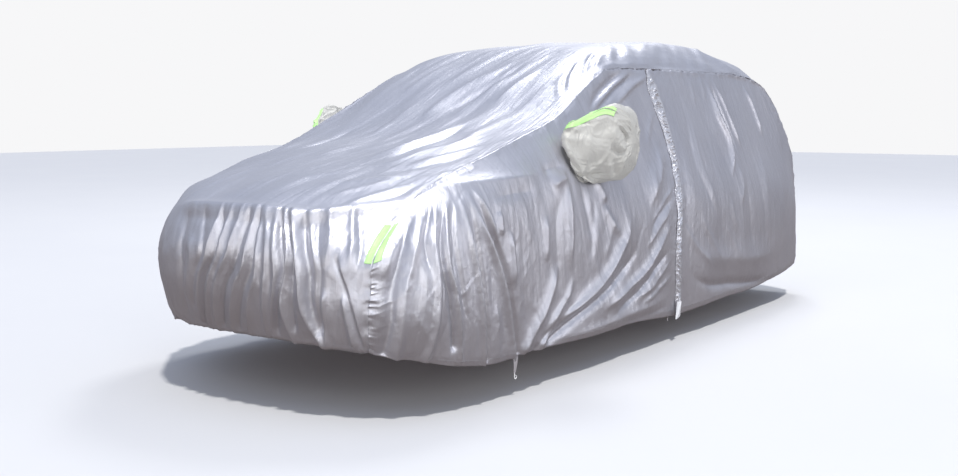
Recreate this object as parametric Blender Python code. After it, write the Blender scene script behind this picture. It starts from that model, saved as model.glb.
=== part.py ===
"""Fitted cover for a compact utility car, as sheet solids in their draped shape.

Lengths are metres. The tables give heights above the ground and places along the
cover from the middle of the wheelbase, front at -y, the door zip side at +x.
The finished model is moved so that its origin is the rest point under the roof.
"""
import math

import bpy
import numpy as np

for leftover in list(bpy.data.objects):
    bpy.data.objects.remove(leftover, do_unlink=True)

# ---------------------------------------------------------------- driving sizes
REST_PLACE = (0.0, 0.60, 1.602)     # under the roof cloth, becomes the origin
CLOTH = 0.002                       # sheet thickness
TRIM = 0.0012                       # reflective band thickness
GAP = 0.0004                        # clear space between neighbouring pieces
STRIP_WIDTH = 0.026                 # one reflective band
ZIP_PUCKER = 0.009                  # height of the ribbon's puckers
HEM_SCALLOP = 0.006                 # waves of the elastic hems
FOLD_STRENGTH = 1.25                # scales the depth of every fold
SEAM_CALM = 0.055                   # folds die out this far from a seam

# ------------------------------------------------------------------- the tables
# One row for each station along the top panel, front hem to rear hem:
# left seam x y h, right seam x y h, centre y h, y power, h power of the crown
STATIONS = (
    ("front_hem",     0.700, -1.973, 0.275, -0.560, -1.900, 0.262, -2.060, 0.300, 2.2, 2.2),
    ("bumper_low",    0.715, -1.993, 0.430, -0.615, -1.895, 0.420, -2.120, 0.440, 2.4, 2.2),
    ("bumper",        0.715, -1.980, 0.523, -0.635, -1.885, 0.510, -2.140, 0.560, 2.6, 2.2),
    ("grille",        0.710, -1.955, 0.638, -0.635, -1.865, 0.615, -2.130, 0.690, 2.8, 2.6),
    ("hood_lip",      0.700, -1.839, 0.750, -0.655, -1.785, 0.712, -2.050, 0.820, 2.8, 3.0),
    ("hood_corner",   0.715, -1.693, 0.874, -0.688, -1.690, 0.832, -1.870, 0.900, 2.6, 3.0),
    ("hood_front",    0.735, -1.506, 0.953, -0.712, -1.500, 0.897, -1.600, 0.970, 2.2, 2.6),
    ("hood_middle",   0.745, -1.287, 1.016, -0.737, -1.287, 0.967, -1.310, 1.030, 2.0, 2.4),
    ("hood_back",     0.740, -1.004, 1.095, -0.735, -1.004, 1.040, -0.990, 1.095, 2.0, 2.4),
    ("cowl",          0.715, -0.705, 1.173, -0.707, -0.705, 1.178, -0.690, 1.210, 2.0, 2.4),
    ("glass_middle",  0.690, -0.473, 1.278, -0.688, -0.473, 1.288, -0.390, 1.370, 2.0, 3.4),
    ("glass_top",     0.660, -0.237, 1.380, -0.666, -0.237, 1.400, -0.080, 1.500, 2.0, 4.6),
    ("roof_front",    0.650, -0.060, 1.423, -0.655, -0.060, 1.438, 0.140, 1.558, 2.0, 5.4),
    ("roof_middle",   0.645, 0.500, 1.433, -0.645, 0.500, 1.440, 0.580, 1.604, 2.0, 5.5),
    ("roof_back",     0.643, 1.100, 1.435, -0.638, 1.100, 1.430, 1.120, 1.620, 2.0, 5.5),
    ("tail_edge",     0.640, 1.476, 1.438, -0.635, 1.476, 1.434, 1.560, 1.598, 2.2, 4.5),
    ("rear_corner",   0.665, 1.820, 1.378, -0.660, 1.820, 1.374, 1.920, 1.505, 2.4, 3.4),
    ("rear_glass",    0.715, 2.010, 1.190, -0.710, 2.010, 1.185, 2.100, 1.230, 2.6, 2.6),
    ("tailgate",      0.760, 2.150, 0.920, -0.755, 2.150, 0.915, 2.250, 0.930, 2.8, 2.2),
    ("rear_bumper",   0.775, 2.195, 0.620, -0.770, 2.195, 0.615, 2.300, 0.620, 2.8, 2.2),
    ("rear_low",      0.780, 2.200, 0.400, -0.775, 2.200, 0.400, 2.300, 0.400, 2.6, 2.2),
    ("rear_hem",      0.785, 2.205, 0.240, -0.780, 2.205, 0.245, 2.280, 0.240, 2.4, 2.2),
)

# One row for each upright line of a side panel between the two corner seams:
# seam station where it starts, then shoulder, waist, low and hem as x y h
SIDE_LINES = (
    ("fender_front", 5.35, (0.795, -1.735, 0.770), (0.840, -1.800, 0.590),
     (0.850, -1.835, 0.400), (0.820, -1.810, 0.238)),
    ("fender_fan",   5.75, (0.835, -1.610, 0.800), (0.880, -1.660, 0.600),
     (0.890, -1.680, 0.400), (0.870, -1.660, 0.200)),
    ("wheel_front",  6.30, (0.855, -1.430, 0.830), (0.895, -1.450, 0.610),
     (0.905, -1.460, 0.390), (0.890, -1.450, 0.172)),
    ("wheel_back",   7.00, (0.860, -1.250, 0.860), (0.900, -1.240, 0.620),
     (0.908, -1.230, 0.390), (0.895, -1.210, 0.174)),
    ("door_edge",    8.00, (0.855, -0.980, 0.890), (0.900, -0.960, 0.640),
     (0.908, -0.940, 0.390), (0.900, -0.910, 0.168)),
    ("mirror",       9.00, (0.845, -0.680, 0.920), (0.900, -0.650, 0.660),
     (0.908, -0.600, 0.400), (0.900, -0.570, 0.166)),
    ("door_front",  10.50, (0.820, -0.280, 0.960), (0.895, -0.260, 0.690),
     (0.906, -0.220, 0.410), (0.898, -0.180, 0.165)),
    ("door_zip",    12.68, (0.790, 0.330, 1.010), (0.885, 0.260, 0.720),
     (0.905, 0.217, 0.430), (0.892, 0.250, 0.135)),
    ("door_back",   13.60, (0.790, 0.820, 1.010), (0.880, 0.800, 0.720),
     (0.900, 0.780, 0.430), (0.890, 0.790, 0.150)),
    ("wheel_rear",  14.40, (0.785, 1.260, 1.000), (0.870, 1.270, 0.710),
     (0.892, 1.270, 0.430), (0.880, 1.270, 0.150)),
    ("quarter",     15.20, (0.780, 1.640, 0.990), (0.860, 1.690, 0.700),
     (0.878, 1.690, 0.430), (0.872, 1.660, 0.180)),
    ("corner_rear", 15.72, (0.768, 1.880, 0.980), (0.832, 1.985, 0.690),
     (0.850, 1.995, 0.430), (0.852, 2.010, 0.212)),
)
# The far front corner sits closer in: the right side's own first lines, as x y h
RIGHT_FRONT_LINES = (
    ("fender_front", 5.35, (0.735, -1.735, 0.735), (0.755, -1.745, 0.585),
     (0.760, -1.720, 0.400), (0.725, -1.660, 0.245)),
    ("fender_fan",   5.75, (0.800, -1.610, 0.770), (0.840, -1.620, 0.595),
     (0.850, -1.600, 0.395), (0.830, -1.570, 0.205)),
)
LEVELS = (0.0, 0.30, 0.56, 0.80, 1.0)    # seam, shoulder, waist, low, hem

# Folds: name, depth and half width in mm (a valley has a minus depth), whether the
# fold runs out over the hem, then the places its crest passes.
# Front face, places as x h
FRONT_FOLDS = (
    ("far_turn",        12, 40, True, ((-0.36, 0.66), (-0.34, 0.51), (-0.37, 0.33))),
    ("far_hollow",     -16, 32, True, ((-0.23, 0.74), (-0.22, 0.55), (-0.26, 0.36))),
    ("far_swell",       10, 36, True, ((-0.16, 0.71), (-0.14, 0.60), (-0.20, 0.40))),
    ("far_gutter",     -12, 26, True, ((-0.10, 0.76), (-0.07, 0.65), (-0.12, 0.55), (-0.18, 0.36))),
    ("slant_one",       14, 22, True, ((0.00, 0.76), (-0.03, 0.63), (-0.09, 0.50), (-0.12, 0.30))),
    ("slant_two",       14, 22, True, ((0.06, 0.79), (0.05, 0.66), (-0.02, 0.54), (-0.08, 0.30))),
    ("slant_gutter",   -14, 22, True, ((0.10, 0.79), (0.09, 0.64), (0.04, 0.51), (-0.02, 0.30))),
    ("slant_three",     14, 22, True, ((0.16, 0.79), (0.15, 0.63), (0.10, 0.50), (0.04, 0.30))),
    ("middle_gutter",  -12, 22, True, ((0.21, 0.80), (0.21, 0.62), (0.16, 0.49), (0.09, 0.30))),
    ("middle_rise",     12, 24, True, ((0.26, 0.80), (0.27, 0.62), (0.23, 0.48), (0.17, 0.30))),
    ("tuck_hollow",    -18, 22, True, ((0.31, 0.80), (0.35, 0.65), (0.33, 0.50), (0.28, 0.33))),
    ("narrow_pleat",    14, 18, True, ((0.33, 0.80), (0.38, 0.69), (0.37, 0.50), (0.35, 0.44), (0.37, 0.29))),
    ("white_pleat",     20, 22, True, ((0.36, 0.81), (0.43, 0.66), (0.45, 0.53), (0.46, 0.42), (0.53, 0.28))),
    ("white_hollow",   -18, 24, True, ((0.42, 0.78), (0.48, 0.63), (0.49, 0.51), (0.50, 0.36))),
    ("short_pleat",     10, 22, False, ((0.43, 0.79), (0.48, 0.70), (0.52, 0.57))),
    ("near_pleat",      12, 24, False, ((0.51, 0.79), (0.55, 0.71), (0.57, 0.60))),
    ("knee_hollow",    -16, 22, True, ((0.56, 0.66), (0.60, 0.56), (0.63, 0.46), (0.66, 0.32))),
    ("knee_pleat",      14, 20, True, ((0.58, 0.68), (0.62, 0.59), (0.65, 0.50), (0.67, 0.34))),
    ("near_flat",       12, 34, False, ((0.58, 0.78), (0.61, 0.70), (0.62, 0.60))),
)

# Hood, glass and roof, places as x y
TOP_FOLDS = (
    ("glass_ridge",      18, 60, False, ((0.24, -1.49), (0.28, -1.15), (0.31, -0.82),
     (0.20, -0.45), (0.10, -0.15))),
    ("glass_far_ridge",  12, 60, False, ((0.00, -1.00), (-0.02, -0.70), (0.03, -0.45), (0.12, -0.20))),
    ("glass_gutter",    -16, 45, False, ((0.30, -1.40), (0.36, -1.05), (0.38, -0.80),
     (0.28, -0.50), (0.22, -0.20))),
    ("cowl_ridge",       14, 45, False, ((0.36, -1.56), (0.43, -1.30), (0.50, -1.10), (0.48, -0.85))),
    ("hood_gutter",     -14, 50, False, ((0.42, -1.61), (0.55, -1.48), (0.62, -1.30), (0.62, -1.05))),
    ("hood_ridge",       12, 34, False, ((0.48, -1.93), (0.55, -1.84), (0.62, -1.70), (0.67, -1.58))),
    ("hood_stretch",     10, 34, False, ((0.28, -1.82), (0.40, -1.74), (0.60, -1.58))),
    ("hood_far_stretch",  8, 40, False, ((0.08, -1.80), (0.22, -1.67), (0.36, -1.50))),
    ("far_edge_ridge",   12, 40, False, ((-0.46, -1.30), (-0.55, -1.06), (-0.50, -0.80))),
    ("far_edge_gutter", -10, 40, False, ((-0.33, -1.35), (-0.39, -1.07), (-0.34, -0.85))),
    ("pillar_gather",    12, 34, False, ((0.50, -0.30), (0.56, -0.38), (0.64, -0.50))),
    ("roof_gather_one",  10, 32, False, ((0.47, 0.12), (0.55, 0.05), (0.63, -0.04))),
    ("roof_gather_two",  10, 34, False, ((0.46, 0.55), (0.55, 0.45), (0.63, 0.36))),
    ("roof_gather_three", 10, 34, False, ((0.46, 0.98), (0.55, 0.88), (0.63, 0.80))),
    ("roof_gather_four", 10, 36, False, ((0.46, 1.40), (0.55, 1.32), (0.62, 1.24))),
)

# Left side, places as y h
LEFT_FOLDS = (
    ("corner_face",      12, 34, False, ((-1.78, 0.78), (-1.87, 0.68), (-1.93, 0.56))),
    ("corner_gutter",   -18, 24, True, ((-1.71, 0.84), (-1.84, 0.70), (-1.91, 0.52), (-1.93, 0.30))),
    ("fan_one",          16, 30, True, ((-1.69, 0.84), (-1.79, 0.70), (-1.87, 0.50), (-1.88, 0.24))),
    ("fan_one_gutter",  -16, 22, False, ((-1.66, 0.86), (-1.76, 0.73), (-1.79, 0.58))),
    ("fan_two",          12, 22, True, ((-1.65, 0.86), (-1.73, 0.72), (-1.77, 0.50), (-1.78, 0.24))),
    ("fan_two_gutter",  -18, 20, True, ((-1.62, 0.88), (-1.71, 0.72), (-1.71, 0.55), (-1.67, 0.30))),
    ("fan_three",        14, 22, True, ((-1.59, 0.88), (-1.66, 0.74), (-1.67, 0.52), (-1.63, 0.22))),
    ("fan_three_gutter", -14, 20, True, ((-1.57, 0.88), (-1.62, 0.72), (-1.61, 0.52), (-1.57, 0.20))),
    ("fan_four",         20, 24, True, ((-1.55, 0.88), (-1.56, 0.70), (-1.54, 0.52), (-1.50, 0.18))),
    ("fan_four_gutter", -16, 20, True, ((-1.52, 0.88), (-1.51, 0.70), (-1.49, 0.50), (-1.46, 0.20))),
    ("fan_five",         18, 26, True, ((-1.50, 0.88), (-1.45, 0.72), (-1.40, 0.58),
     (-1.33, 0.36), (-1.29, 0.18))),
    ("fan_five_gutter", -16, 24, True, ((-1.46, 0.88), (-1.41, 0.74), (-1.34, 0.55),
     (-1.28, 0.36), (-1.25, 0.19))),
    ("fan_six",          12, 30, False, ((-1.36, 0.82), (-1.34, 0.68), (-1.27, 0.48))),
    ("panel_streak",     12, 26, False, ((-1.01, 0.76), (-1.03, 0.66), (-1.04, 0.54))),
    ("panel_hollow",    -16, 44, False, ((-0.85, 0.88), (-0.93, 0.74), (-0.95, 0.56), (-0.95, 0.38))),
    ("pocket_pull",      16, 34, False, ((-0.81, 0.90), (-0.82, 0.76), (-0.87, 0.60), (-0.83, 0.46))),
    ("wheel_tongue",     22, 30, True, ((-0.97, 0.50), (-1.03, 0.38), (-1.11, 0.28), (-1.20, 0.18))),
    ("wheel_tongue_two", 14, 26, False, ((-0.81, 0.46), (-0.87, 0.38), (-0.96, 0.28))),
    ("tongue_gutter",   -20, 26, True, ((-0.75, 0.38), (-0.88, 0.30), (-1.03, 0.23), (-1.13, 0.17))),
    ("sweep_one",        26, 36, True, ((-0.42, 0.76), (-0.33, 0.64), (-0.42, 0.50),
     (-0.62, 0.36), (-0.92, 0.25), (-1.06, 0.19))),
    ("sweep_gutter",    -20, 40, True, ((-0.22, 0.62), (-0.29, 0.45), (-0.50, 0.31), (-0.76, 0.23))),
    ("sweep_two",        22, 28, False, ((0.13, 0.66), (0.04, 0.53), (-0.15, 0.40),
     (-0.40, 0.30), (-0.60, 0.24))),
    ("sweep_two_gutter", -16, 28, False, ((0.14, 0.52), (0.00, 0.42), (-0.24, 0.31), (-0.48, 0.24))),
    ("hem_swell",        18, 36, False, ((0.17, 0.27), (-0.20, 0.23), (-0.59, 0.21), (-0.95, 0.18))),
    ("door_streak",      12, 34, False, ((0.08, 0.96), (0.00, 0.82), (-0.08, 0.72))),
    ("glass_hollow",    -18, 30, False, ((-0.10, 1.38), (-0.28, 1.31), (-0.45, 1.23))),
    ("glass_hollow_two", -18, 30, False, ((0.13, 1.38), (-0.08, 1.31), (-0.36, 1.22))),
    ("glass_rise",       12, 26, False, ((0.01, 1.39), (-0.19, 1.31), (-0.40, 1.23))),
    ("rear_ridge",       18, 30, False, ((1.10, 1.38), (1.04, 1.24), (1.09, 1.10),
     (1.08, 0.94), (1.02, 0.80))),
    ("rear_ridge_two",   14, 30, False, ((1.14, 1.39), (1.22, 1.26), (1.26, 1.10), (1.33, 0.94))),
    ("rear_hollow",     -14, 26, False, ((1.10, 1.36), (1.14, 1.24), (1.16, 1.08), (1.18, 0.92))),
    ("rear_ridge_three", 12, 34, False, ((1.50, 1.36), (1.56, 1.22), (1.62, 1.06))),
    ("rear_soft",        10, 40, False, ((1.13, 0.88), (1.14, 0.76), (1.04, 0.62))),
    ("rear_soft_hollow", -12, 46, False, ((0.62, 1.22), (0.58, 0.94), (0.64, 0.74), (0.72, 0.56))),
    ("rear_wide",        12, 60, False, ((1.54, 0.95), (1.49, 0.67), (1.50, 0.40))),
    ("wheel_bag",        26, 70, False, ((0.40, 0.48), (0.62, 0.36), (0.92, 0.33),
     (1.30, 0.30), (1.62, 0.32))),
    ("wheel_tuck",      -26, 34, False, ((0.34, 0.40), (0.44, 0.30), (0.66, 0.25),
     (0.95, 0.235), (1.30, 0.20), (1.56, 0.20))),
)

# Right side, places as y h, a calmer set of the same kind
RIGHT_FOLDS = (
    ("fan_one",          14, 34, True, ((-1.66, 0.80), (-1.76, 0.62), (-1.82, 0.26))),
    ("fan_two",          14, 34, True, ((-1.56, 0.82), (-1.60, 0.60), (-1.60, 0.22))),
    ("fan_gutter",      -14, 34, True, ((-1.50, 0.82), (-1.50, 0.58), (-1.48, 0.20))),
    ("fan_three",        14, 36, True, ((-1.44, 0.82), (-1.38, 0.60), (-1.30, 0.20))),
    ("sweep_one",        20, 44, True, ((-0.30, 0.74), (-0.36, 0.54), (-0.62, 0.36), (-1.00, 0.21))),
    ("sweep_gutter",    -16, 44, False, ((-0.16, 0.64), (-0.28, 0.44), (-0.60, 0.28))),
    ("sweep_two",        18, 44, False, ((0.22, 0.66), (0.08, 0.48), (-0.24, 0.31))),
    ("glass_hollow",    -14, 40, False, ((0.10, 1.36), (-0.10, 1.28), (-0.34, 1.20))),
    ("rear_ridge",       16, 44, False, ((0.96, 1.36), (1.02, 1.08), (0.98, 0.76))),
    ("rear_hollow",     -14, 44, False, ((1.10, 1.36), (1.18, 1.08), (1.22, 0.80))),
    ("wheel_bag",        20, 70, False, ((0.50, 0.42), (0.95, 0.33), (1.50, 0.33))),
    ("wheel_tuck",      -20, 44, False, ((0.46, 0.28), (0.95, 0.23), (1.46, 0.21))),
)

# Rear face, places as x h
REAR_FOLDS = tuple(
    (f"rear_pleat_{number}", depth, 42, True, ((top, 0.92), (0.5 * (top + low), 0.58), (low, 0.24)))
    for number, (depth, top, low) in enumerate(
        ((12, 0.58, 0.62), (-12, 0.44, 0.47), (14, 0.31, 0.36), (-14, 0.19, 0.22),
         (12, 0.06, 0.08), (-12, -0.08, -0.08), (14, -0.21, -0.24), (-14, -0.34, -0.38),
         (12, -0.47, -0.52)))
)

# Mirror pocket rings outward from the panel: x, centre y h, half width along y, half height
POCKET_RINGS = (
    ("throat",   0.800, -0.628, 1.020, 0.145, 0.118),
    ("shoulder", 0.843, -0.588, 1.030, 0.145, 0.148),
    ("belly",    0.888, -0.542, 1.047, 0.136, 0.168),
    ("front",    0.932, -0.500, 1.066, 0.126, 0.176),
    ("brow",     0.970, -0.474, 1.072, 0.102, 0.142),
    ("cap",      0.992, -0.460, 1.074, 0.066, 0.090),
    ("crown",    1.000, -0.455, 1.074, 0.030, 0.040),
)
POCKET_SEAT = (6.215, 0.225, 0.36, 0.115)  # side line, level, half spans of its seam
POCKET_SQUARENESS = 3.6
POCKET_ALLOWANCE = 0.012                  # cloth each side of its seam in the panel
FAR_POCKET_REACH = 0.68                   # the far pocket stands out less
FAR_POCKET_WIDTH = 0.80                   # is slacker
FAR_POCKET_SHIFT = 0.008                  # and sits a little to the rear
POCKET_TURNS = (0, 18, 36, 50, 64, 80, 97, 110, 121, 132, 136, 147, 156, 167, 180,
                198, 214, 228, 242, 260, 278, 294, 310, 324, 342)
POCKET_BAND_SIDES = (8, 10)               # facets where the two bands lie
POCKET_BAND_RINGS = 4                     # rings that they run along
POCKET_SIDES = len(POCKET_TURNS)

# ------------------------------------------------------------ mesh rows and rims
UPRIGHT = (0.0, 0.07, 0.13, 0.20, 0.30, 0.40, 0.52, 0.64, 0.77, 0.89, 1.0)
BAND_STATIONS = (2.9, 4.1)               # the corner bands lie between these stations
CORNER, REAR, LAST = 5, 16, len(STATIONS) - 1
ZIP_LINE = 8                              # the door_zip upright, the corner seam being 0
ZIP_HALF = 0.058                          # half the ribbon in side line steps
PUCKERS_PER_ROW = 3

# Colour, roughness, metallic
MATERIALS = {
    "silver_cloth": ((0.62, 0.64, 0.69, 1.0), 0.42, 0.65),
    "pocket_cloth": ((0.80, 0.80, 0.76, 1.0), 0.60, 0.05),
    "reflective_band": ((0.55, 0.95, 0.32, 1.0), 0.45, 0.0),
    "zip_ribbon": ((0.83, 0.84, 0.86, 1.0), 0.45, 0.35),
    "strap_webbing": ((0.55, 0.55, 0.56, 1.0), 0.70, 0.0),
    "clip_plastic": ((0.86, 0.86, 0.86, 1.0), 0.35, 0.0),
}


# ----------------------------------------------------------------- curve helpers
def smooth(knots, values, place):
    """Cubic curve through the rows of values, read at place."""
    knots = np.asarray(knots, float)
    values = np.asarray(values, float)
    step = np.diff(knots)
    slope = np.diff(values, axis=0) / step[:, None]
    tangent = np.empty_like(values)
    tangent[0], tangent[-1] = slope[0], slope[-1]
    blend = (step[1:] + step[:-1])[:, None]
    tangent[1:-1] = (slope[:-1] * step[1:, None] + slope[1:] * step[:-1, None]) / blend
    place = np.clip(np.asarray(place, float), knots[0], knots[-1])
    cell = np.clip(np.searchsorted(knots, place, side="right") - 1, 0, len(knots) - 2)
    width = step[cell][..., None]
    x = (place - knots[cell])[..., None] / width
    return (
        values[cell] * (1 + 2 * x) * (1 - x) ** 2
        + tangent[cell] * width * x * (1 - x) ** 2
        + values[cell + 1] * x * x * (3 - 2 * x)
        - tangent[cell + 1] * width * x * x * (1 - x)
    )


def ease(x):
    """Soft step from 0 to 1."""
    x = np.clip(x, 0.0, 1.0)
    return x * x * (3 - 2 * x)


STATION_SIZES = np.array([row[1:] for row in STATIONS])
STATION_PLACES = np.arange(len(STATIONS))


def seam(station, hand):
    """Point of the seam between the top panel and a side panel."""
    first = 0 if hand > 0 else 3
    return smooth(STATION_PLACES, STATION_SIZES[:, first:first + 3], station)


def top_surface(station, across):
    """Top panel before its folds; across runs from -1 (right seam) to 1 (left seam)."""
    station, across = np.broadcast_arrays(np.asarray(station, float), np.asarray(across, float))
    size = smooth(STATION_PLACES, STATION_SIZES, station)
    edge = np.where((across > 0)[..., None], size[..., 0:3], size[..., 3:6])
    middle = np.stack([0 * across, size[..., 6], size[..., 7]], -1)
    power = np.stack([1 + 0 * across, size[..., 8], size[..., 9]], -1)
    return middle + (edge - middle) * np.abs(across)[..., None] ** power


def side_table(hand):
    """Points of every upright line at every level, as line, level, x y h."""
    levels = np.array(LEVELS)
    lines = [seam(CORNER * (1 - levels), hand)]
    rows = SIDE_LINES if hand > 0 else RIGHT_FRONT_LINES + SIDE_LINES[2:]
    for _, station, *below in rows:
        start = seam(np.array([station]), hand)
        rest = np.array(below) * (hand, 1, 1)
        drop = start[0, 2] - seam(np.array([station]), 1)[0, 2]
        rest[0, 2] += 0.5 * drop
        lines.append(np.vstack([start, rest]))
    lines.append(seam(REAR + (LAST - REAR) * levels, hand))
    return np.array(lines)


SIDE_TABLES = {hand: side_table(hand) for hand in (1, -1)}
SIDE_LAST = len(SIDE_LINES) + 1
SEAM_STARTS = np.array([CORNER] + [row[1] for row in SIDE_LINES] + [REAR], float)[:, None]


def side_surface(line, level, hand):
    """Side panel before its folds; level runs from 0 (seam) to 1 (hem)."""
    line, level = np.broadcast_arrays(np.asarray(line, float), np.asarray(level, float))
    shape = line.shape
    line, level = line.ravel(), level.ravel()
    table = SIDE_TABLES[hand]
    lines = np.arange(SIDE_LAST + 1)
    rows = np.stack([smooth(lines, table[:, k], line) for k in range(len(LEVELS))], 1)
    rows[:, 0] = seam(smooth(lines, SEAM_STARTS, line)[:, 0], hand)
    point = np.array([smooth(LEVELS, row, at) for row, at in zip(rows, level)])
    for edge, station in ((0, CORNER * (1 - level)), (SIDE_LAST, REAR + (LAST - REAR) * level)):
        near = ease(1 - np.abs(line - edge))[:, None]
        point += near * (seam(station, hand) - smooth(LEVELS, table[edge], level))
    return point.reshape(shape + (3,))


def outward(surface, first, second, step_first, step_second):
    """Unit normals of a smooth surface, pointing away from the middle of the cover."""
    along = surface(first + step_first, second) - surface(first - step_first, second)
    over = surface(first, second + step_second) - surface(first, second - step_second)
    normal = np.cross(along, over)
    normal /= np.linalg.norm(normal, axis=-1, keepdims=True)
    away = surface(first, second) - np.array((0.0, 0.0, 0.7))
    return normal * np.sign(np.sum(normal * away, -1, keepdims=True))


def fold_height(folds, places):
    """Height of all folds of a table at flat places, summed."""
    total = np.zeros(len(places))
    for _, depth, half, runs_out, crest in folds:
        crest = np.array(crest, float)
        path = smooth(np.arange(len(crest)), crest, np.linspace(0, len(crest) - 1, 13))
        start, run = path[:-1], np.diff(path, axis=0)
        length = np.linalg.norm(run, axis=1)
        walked = np.concatenate([[0], np.cumsum(length)])
        offset = places[:, None] - start[None]
        share = np.clip(np.sum(offset * run, -1) / length ** 2, 0, 1)
        gap = np.linalg.norm(offset - share[..., None] * run, axis=-1)
        nearest = np.argmin(gap, 1)
        pick = np.arange(len(places))
        reach = gap[pick, nearest] / (half / 1000)
        at = (walked[nearest] + share[pick, nearest] * length[nearest]) / walked[-1]
        fade = ease(at / 0.3) * (1.0 if runs_out else ease((1 - at) / 0.3))
        total += FOLD_STRENGTH * depth / 1000 * fade * np.exp(-reach ** 2)
    return total


def seam_calm(distance):
    return ease(distance / SEAM_CALM)


def hem_wave(along, level):
    """Small scallops where the elastic hem gathers the cloth."""
    return HEM_SCALLOP * ease((level - 0.8) / 0.2) * np.sin(2 * math.pi * along / 0.115)


# ------------------------------------------------------------------ folded panels
def top_point(station, across):
    """Top panel with its folds, and its outward directions."""
    base = top_surface(station, across)
    normal = outward(top_surface, station, across, 0.02, 0.004)
    width = 0.5 * (STATION_SIZES[:, 0] - STATION_SIZES[:, 3])
    half = np.interp(station, STATION_PLACES, width)
    calm = seam_calm((1 - np.abs(across)) * half)
    front = ease((CORNER - 0.1 - station) / 0.9) * fold_height(FRONT_FOLDS, base[:, (0, 2)])
    middle = ease((station - 4.3) / 0.7) * fold_height(TOP_FOLDS, base[:, (0, 1)])
    rear = ease((station - REAR) / 1.5) * fold_height(REAR_FOLDS, base[:, (0, 2)])
    ends = hem_wave(base[:, 0], 1 - station / CORNER)
    ends += hem_wave(base[:, 0], (station - REAR) / (LAST - REAR))
    height = calm * (front + middle + rear + ends)
    return base + normal * height[:, None], normal


def side_point(line, level, hand):
    """Side panel with its folds, and its outward directions."""
    def surface(a, b):
        return side_surface(a, b, hand)

    base = surface(line, level)
    inner_line = np.clip(line, 0.02, SIDE_LAST - 0.02)
    inner_level = np.clip(level, 0.004, 0.996)
    normal = outward(surface, inner_line, inner_level, 0.02, 0.004)
    to_seam = np.minimum(level * 1.1, np.minimum(line * 0.16, (SIDE_LAST - line) * 0.2))
    folds = LEFT_FOLDS if hand > 0 else RIGHT_FOLDS
    height = fold_height(folds, base[:, (1, 2)]) + hem_wave(base[:, 1], level)
    return base + normal * (seam_calm(to_seam) * height)[:, None], normal


def seam_normal(station, hand):
    """One outward direction shared by both pieces that meet at a seam."""
    station = np.clip(np.asarray(station, float), 0.02, LAST - 0.02)
    own = outward(top_surface, station, np.full(len(station), hand * 0.99), 0.02, 0.004)
    level = np.where(station < CORNER, 1 - station / CORNER, 0.0)
    level = np.where(station > REAR, (station - REAR) / (LAST - REAR), level)
    line = np.interp(station, SEAM_STARTS[:, 0], np.arange(SIDE_LAST + 1))
    line = np.clip(line, 0.05, SIDE_LAST - 0.05)
    _, other = side_point(line, np.clip(level, 0.02, 0.98), hand)
    both = own + other
    return both / np.linalg.norm(both, axis=1, keepdims=True)


# ------------------------------------------------------------------- solid sheets
def zip_rows(first, second, first_at, second_at, start_first, start_second):
    """Triangles between two rows of points, whatever their numbers."""
    faces = []
    a = b = 0
    while a < len(first_at) - 1 or b < len(second_at) - 1:
        turn_first = b == len(second_at) - 1 or (
            a < len(first_at) - 1 and first_at[a + 1] <= second_at[b + 1] + 1e-9)
        if turn_first:
            faces.append((start_first + a, start_first + a + 1, start_second + b))
            a += 1
        else:
            faces.append((start_first + a, start_second + b + 1, start_second + b))
            b += 1
    return faces


def vertex_normals(points, faces):
    """Unit normals of a triangle mesh at its points."""
    faces = np.array(faces)
    corner = points[faces]
    area = np.cross(corner[:, 1] - corner[:, 0], corner[:, 2] - corner[:, 0])
    total = np.zeros_like(points)
    for k in range(3):
        np.add.at(total, faces[:, k], area)
    return total / np.linalg.norm(total, axis=1, keepdims=True)


def make_object(name, points, faces, material):
    """Named mesh object in the model's own frame, with its material."""
    mesh = bpy.data.meshes.new(name)
    mesh.from_pydata((np.asarray(points) - REST_PLACE).tolist(), [], faces)
    mesh.shade_smooth()
    mesh.set_sharp_from_angle(angle=math.radians(50))
    mesh.materials.append(material)
    item = bpy.data.objects.new(name, mesh)
    bpy.context.scene.collection.objects.link(item)
    return item


def make_material(name):
    colour, roughness, metallic = MATERIALS[name]
    material = bpy.data.materials.new(name)
    material.use_nodes = True
    shader = material.node_tree.nodes["Principled BSDF"]
    shader.inputs["Base Color"].default_value = colour
    shader.inputs["Roughness"].default_value = roughness
    shader.inputs["Metallic"].default_value = metallic
    return material


def make_sheet(name, rows, places, material, thickness=CLOTH, fixed=None):
    """Closed sheet: rows of outer points, joined, and the same set in by the thickness.

    fixed holds, for point numbers, outward directions that a neighbour shares.
    """
    starts = np.concatenate([[0], np.cumsum([len(row) for row in rows])])
    points = np.vstack(rows)
    faces = []
    for k in range(len(rows) - 1):
        faces += zip_rows(rows[k], rows[k + 1], places[k], places[k + 1], starts[k], starts[k + 1])
    normal = vertex_normals(points, faces)
    middle = np.array((0.0, 0.0, 0.7))
    if np.sum(np.sum(normal * (points - middle), 1)) < 0:
        faces = [face[::-1] for face in faces]
        normal = -normal
    for number, direction in (fixed or {}).items():
        normal[number] = direction
    count = len(points)
    inner = points - thickness * normal
    solid = list(faces) + [tuple(count + k for k in face[::-1]) for face in faces]
    used = {}
    for face in faces:
        for a, b in zip(face, face[1:] + face[:1]):
            used[(a, b)] = used.get((a, b), 0) + 1
    for a, b in used:
        if (b, a) not in used:
            solid.append((a, count + a, count + b))
            solid.append((a, count + b, b))
    item = make_object(name, np.vstack([points, inner]), solid, material)
    return item, points, starts, normal, places


def tuck_edges(rows, which):
    """Draw the chosen end of every row back from the seam by half the gap."""
    for row in rows:
        for end, near in which:
            run = row[near] - row[end]
            row[end] = row[end] + run / np.linalg.norm(run) * GAP * 0.5
    return rows


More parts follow.
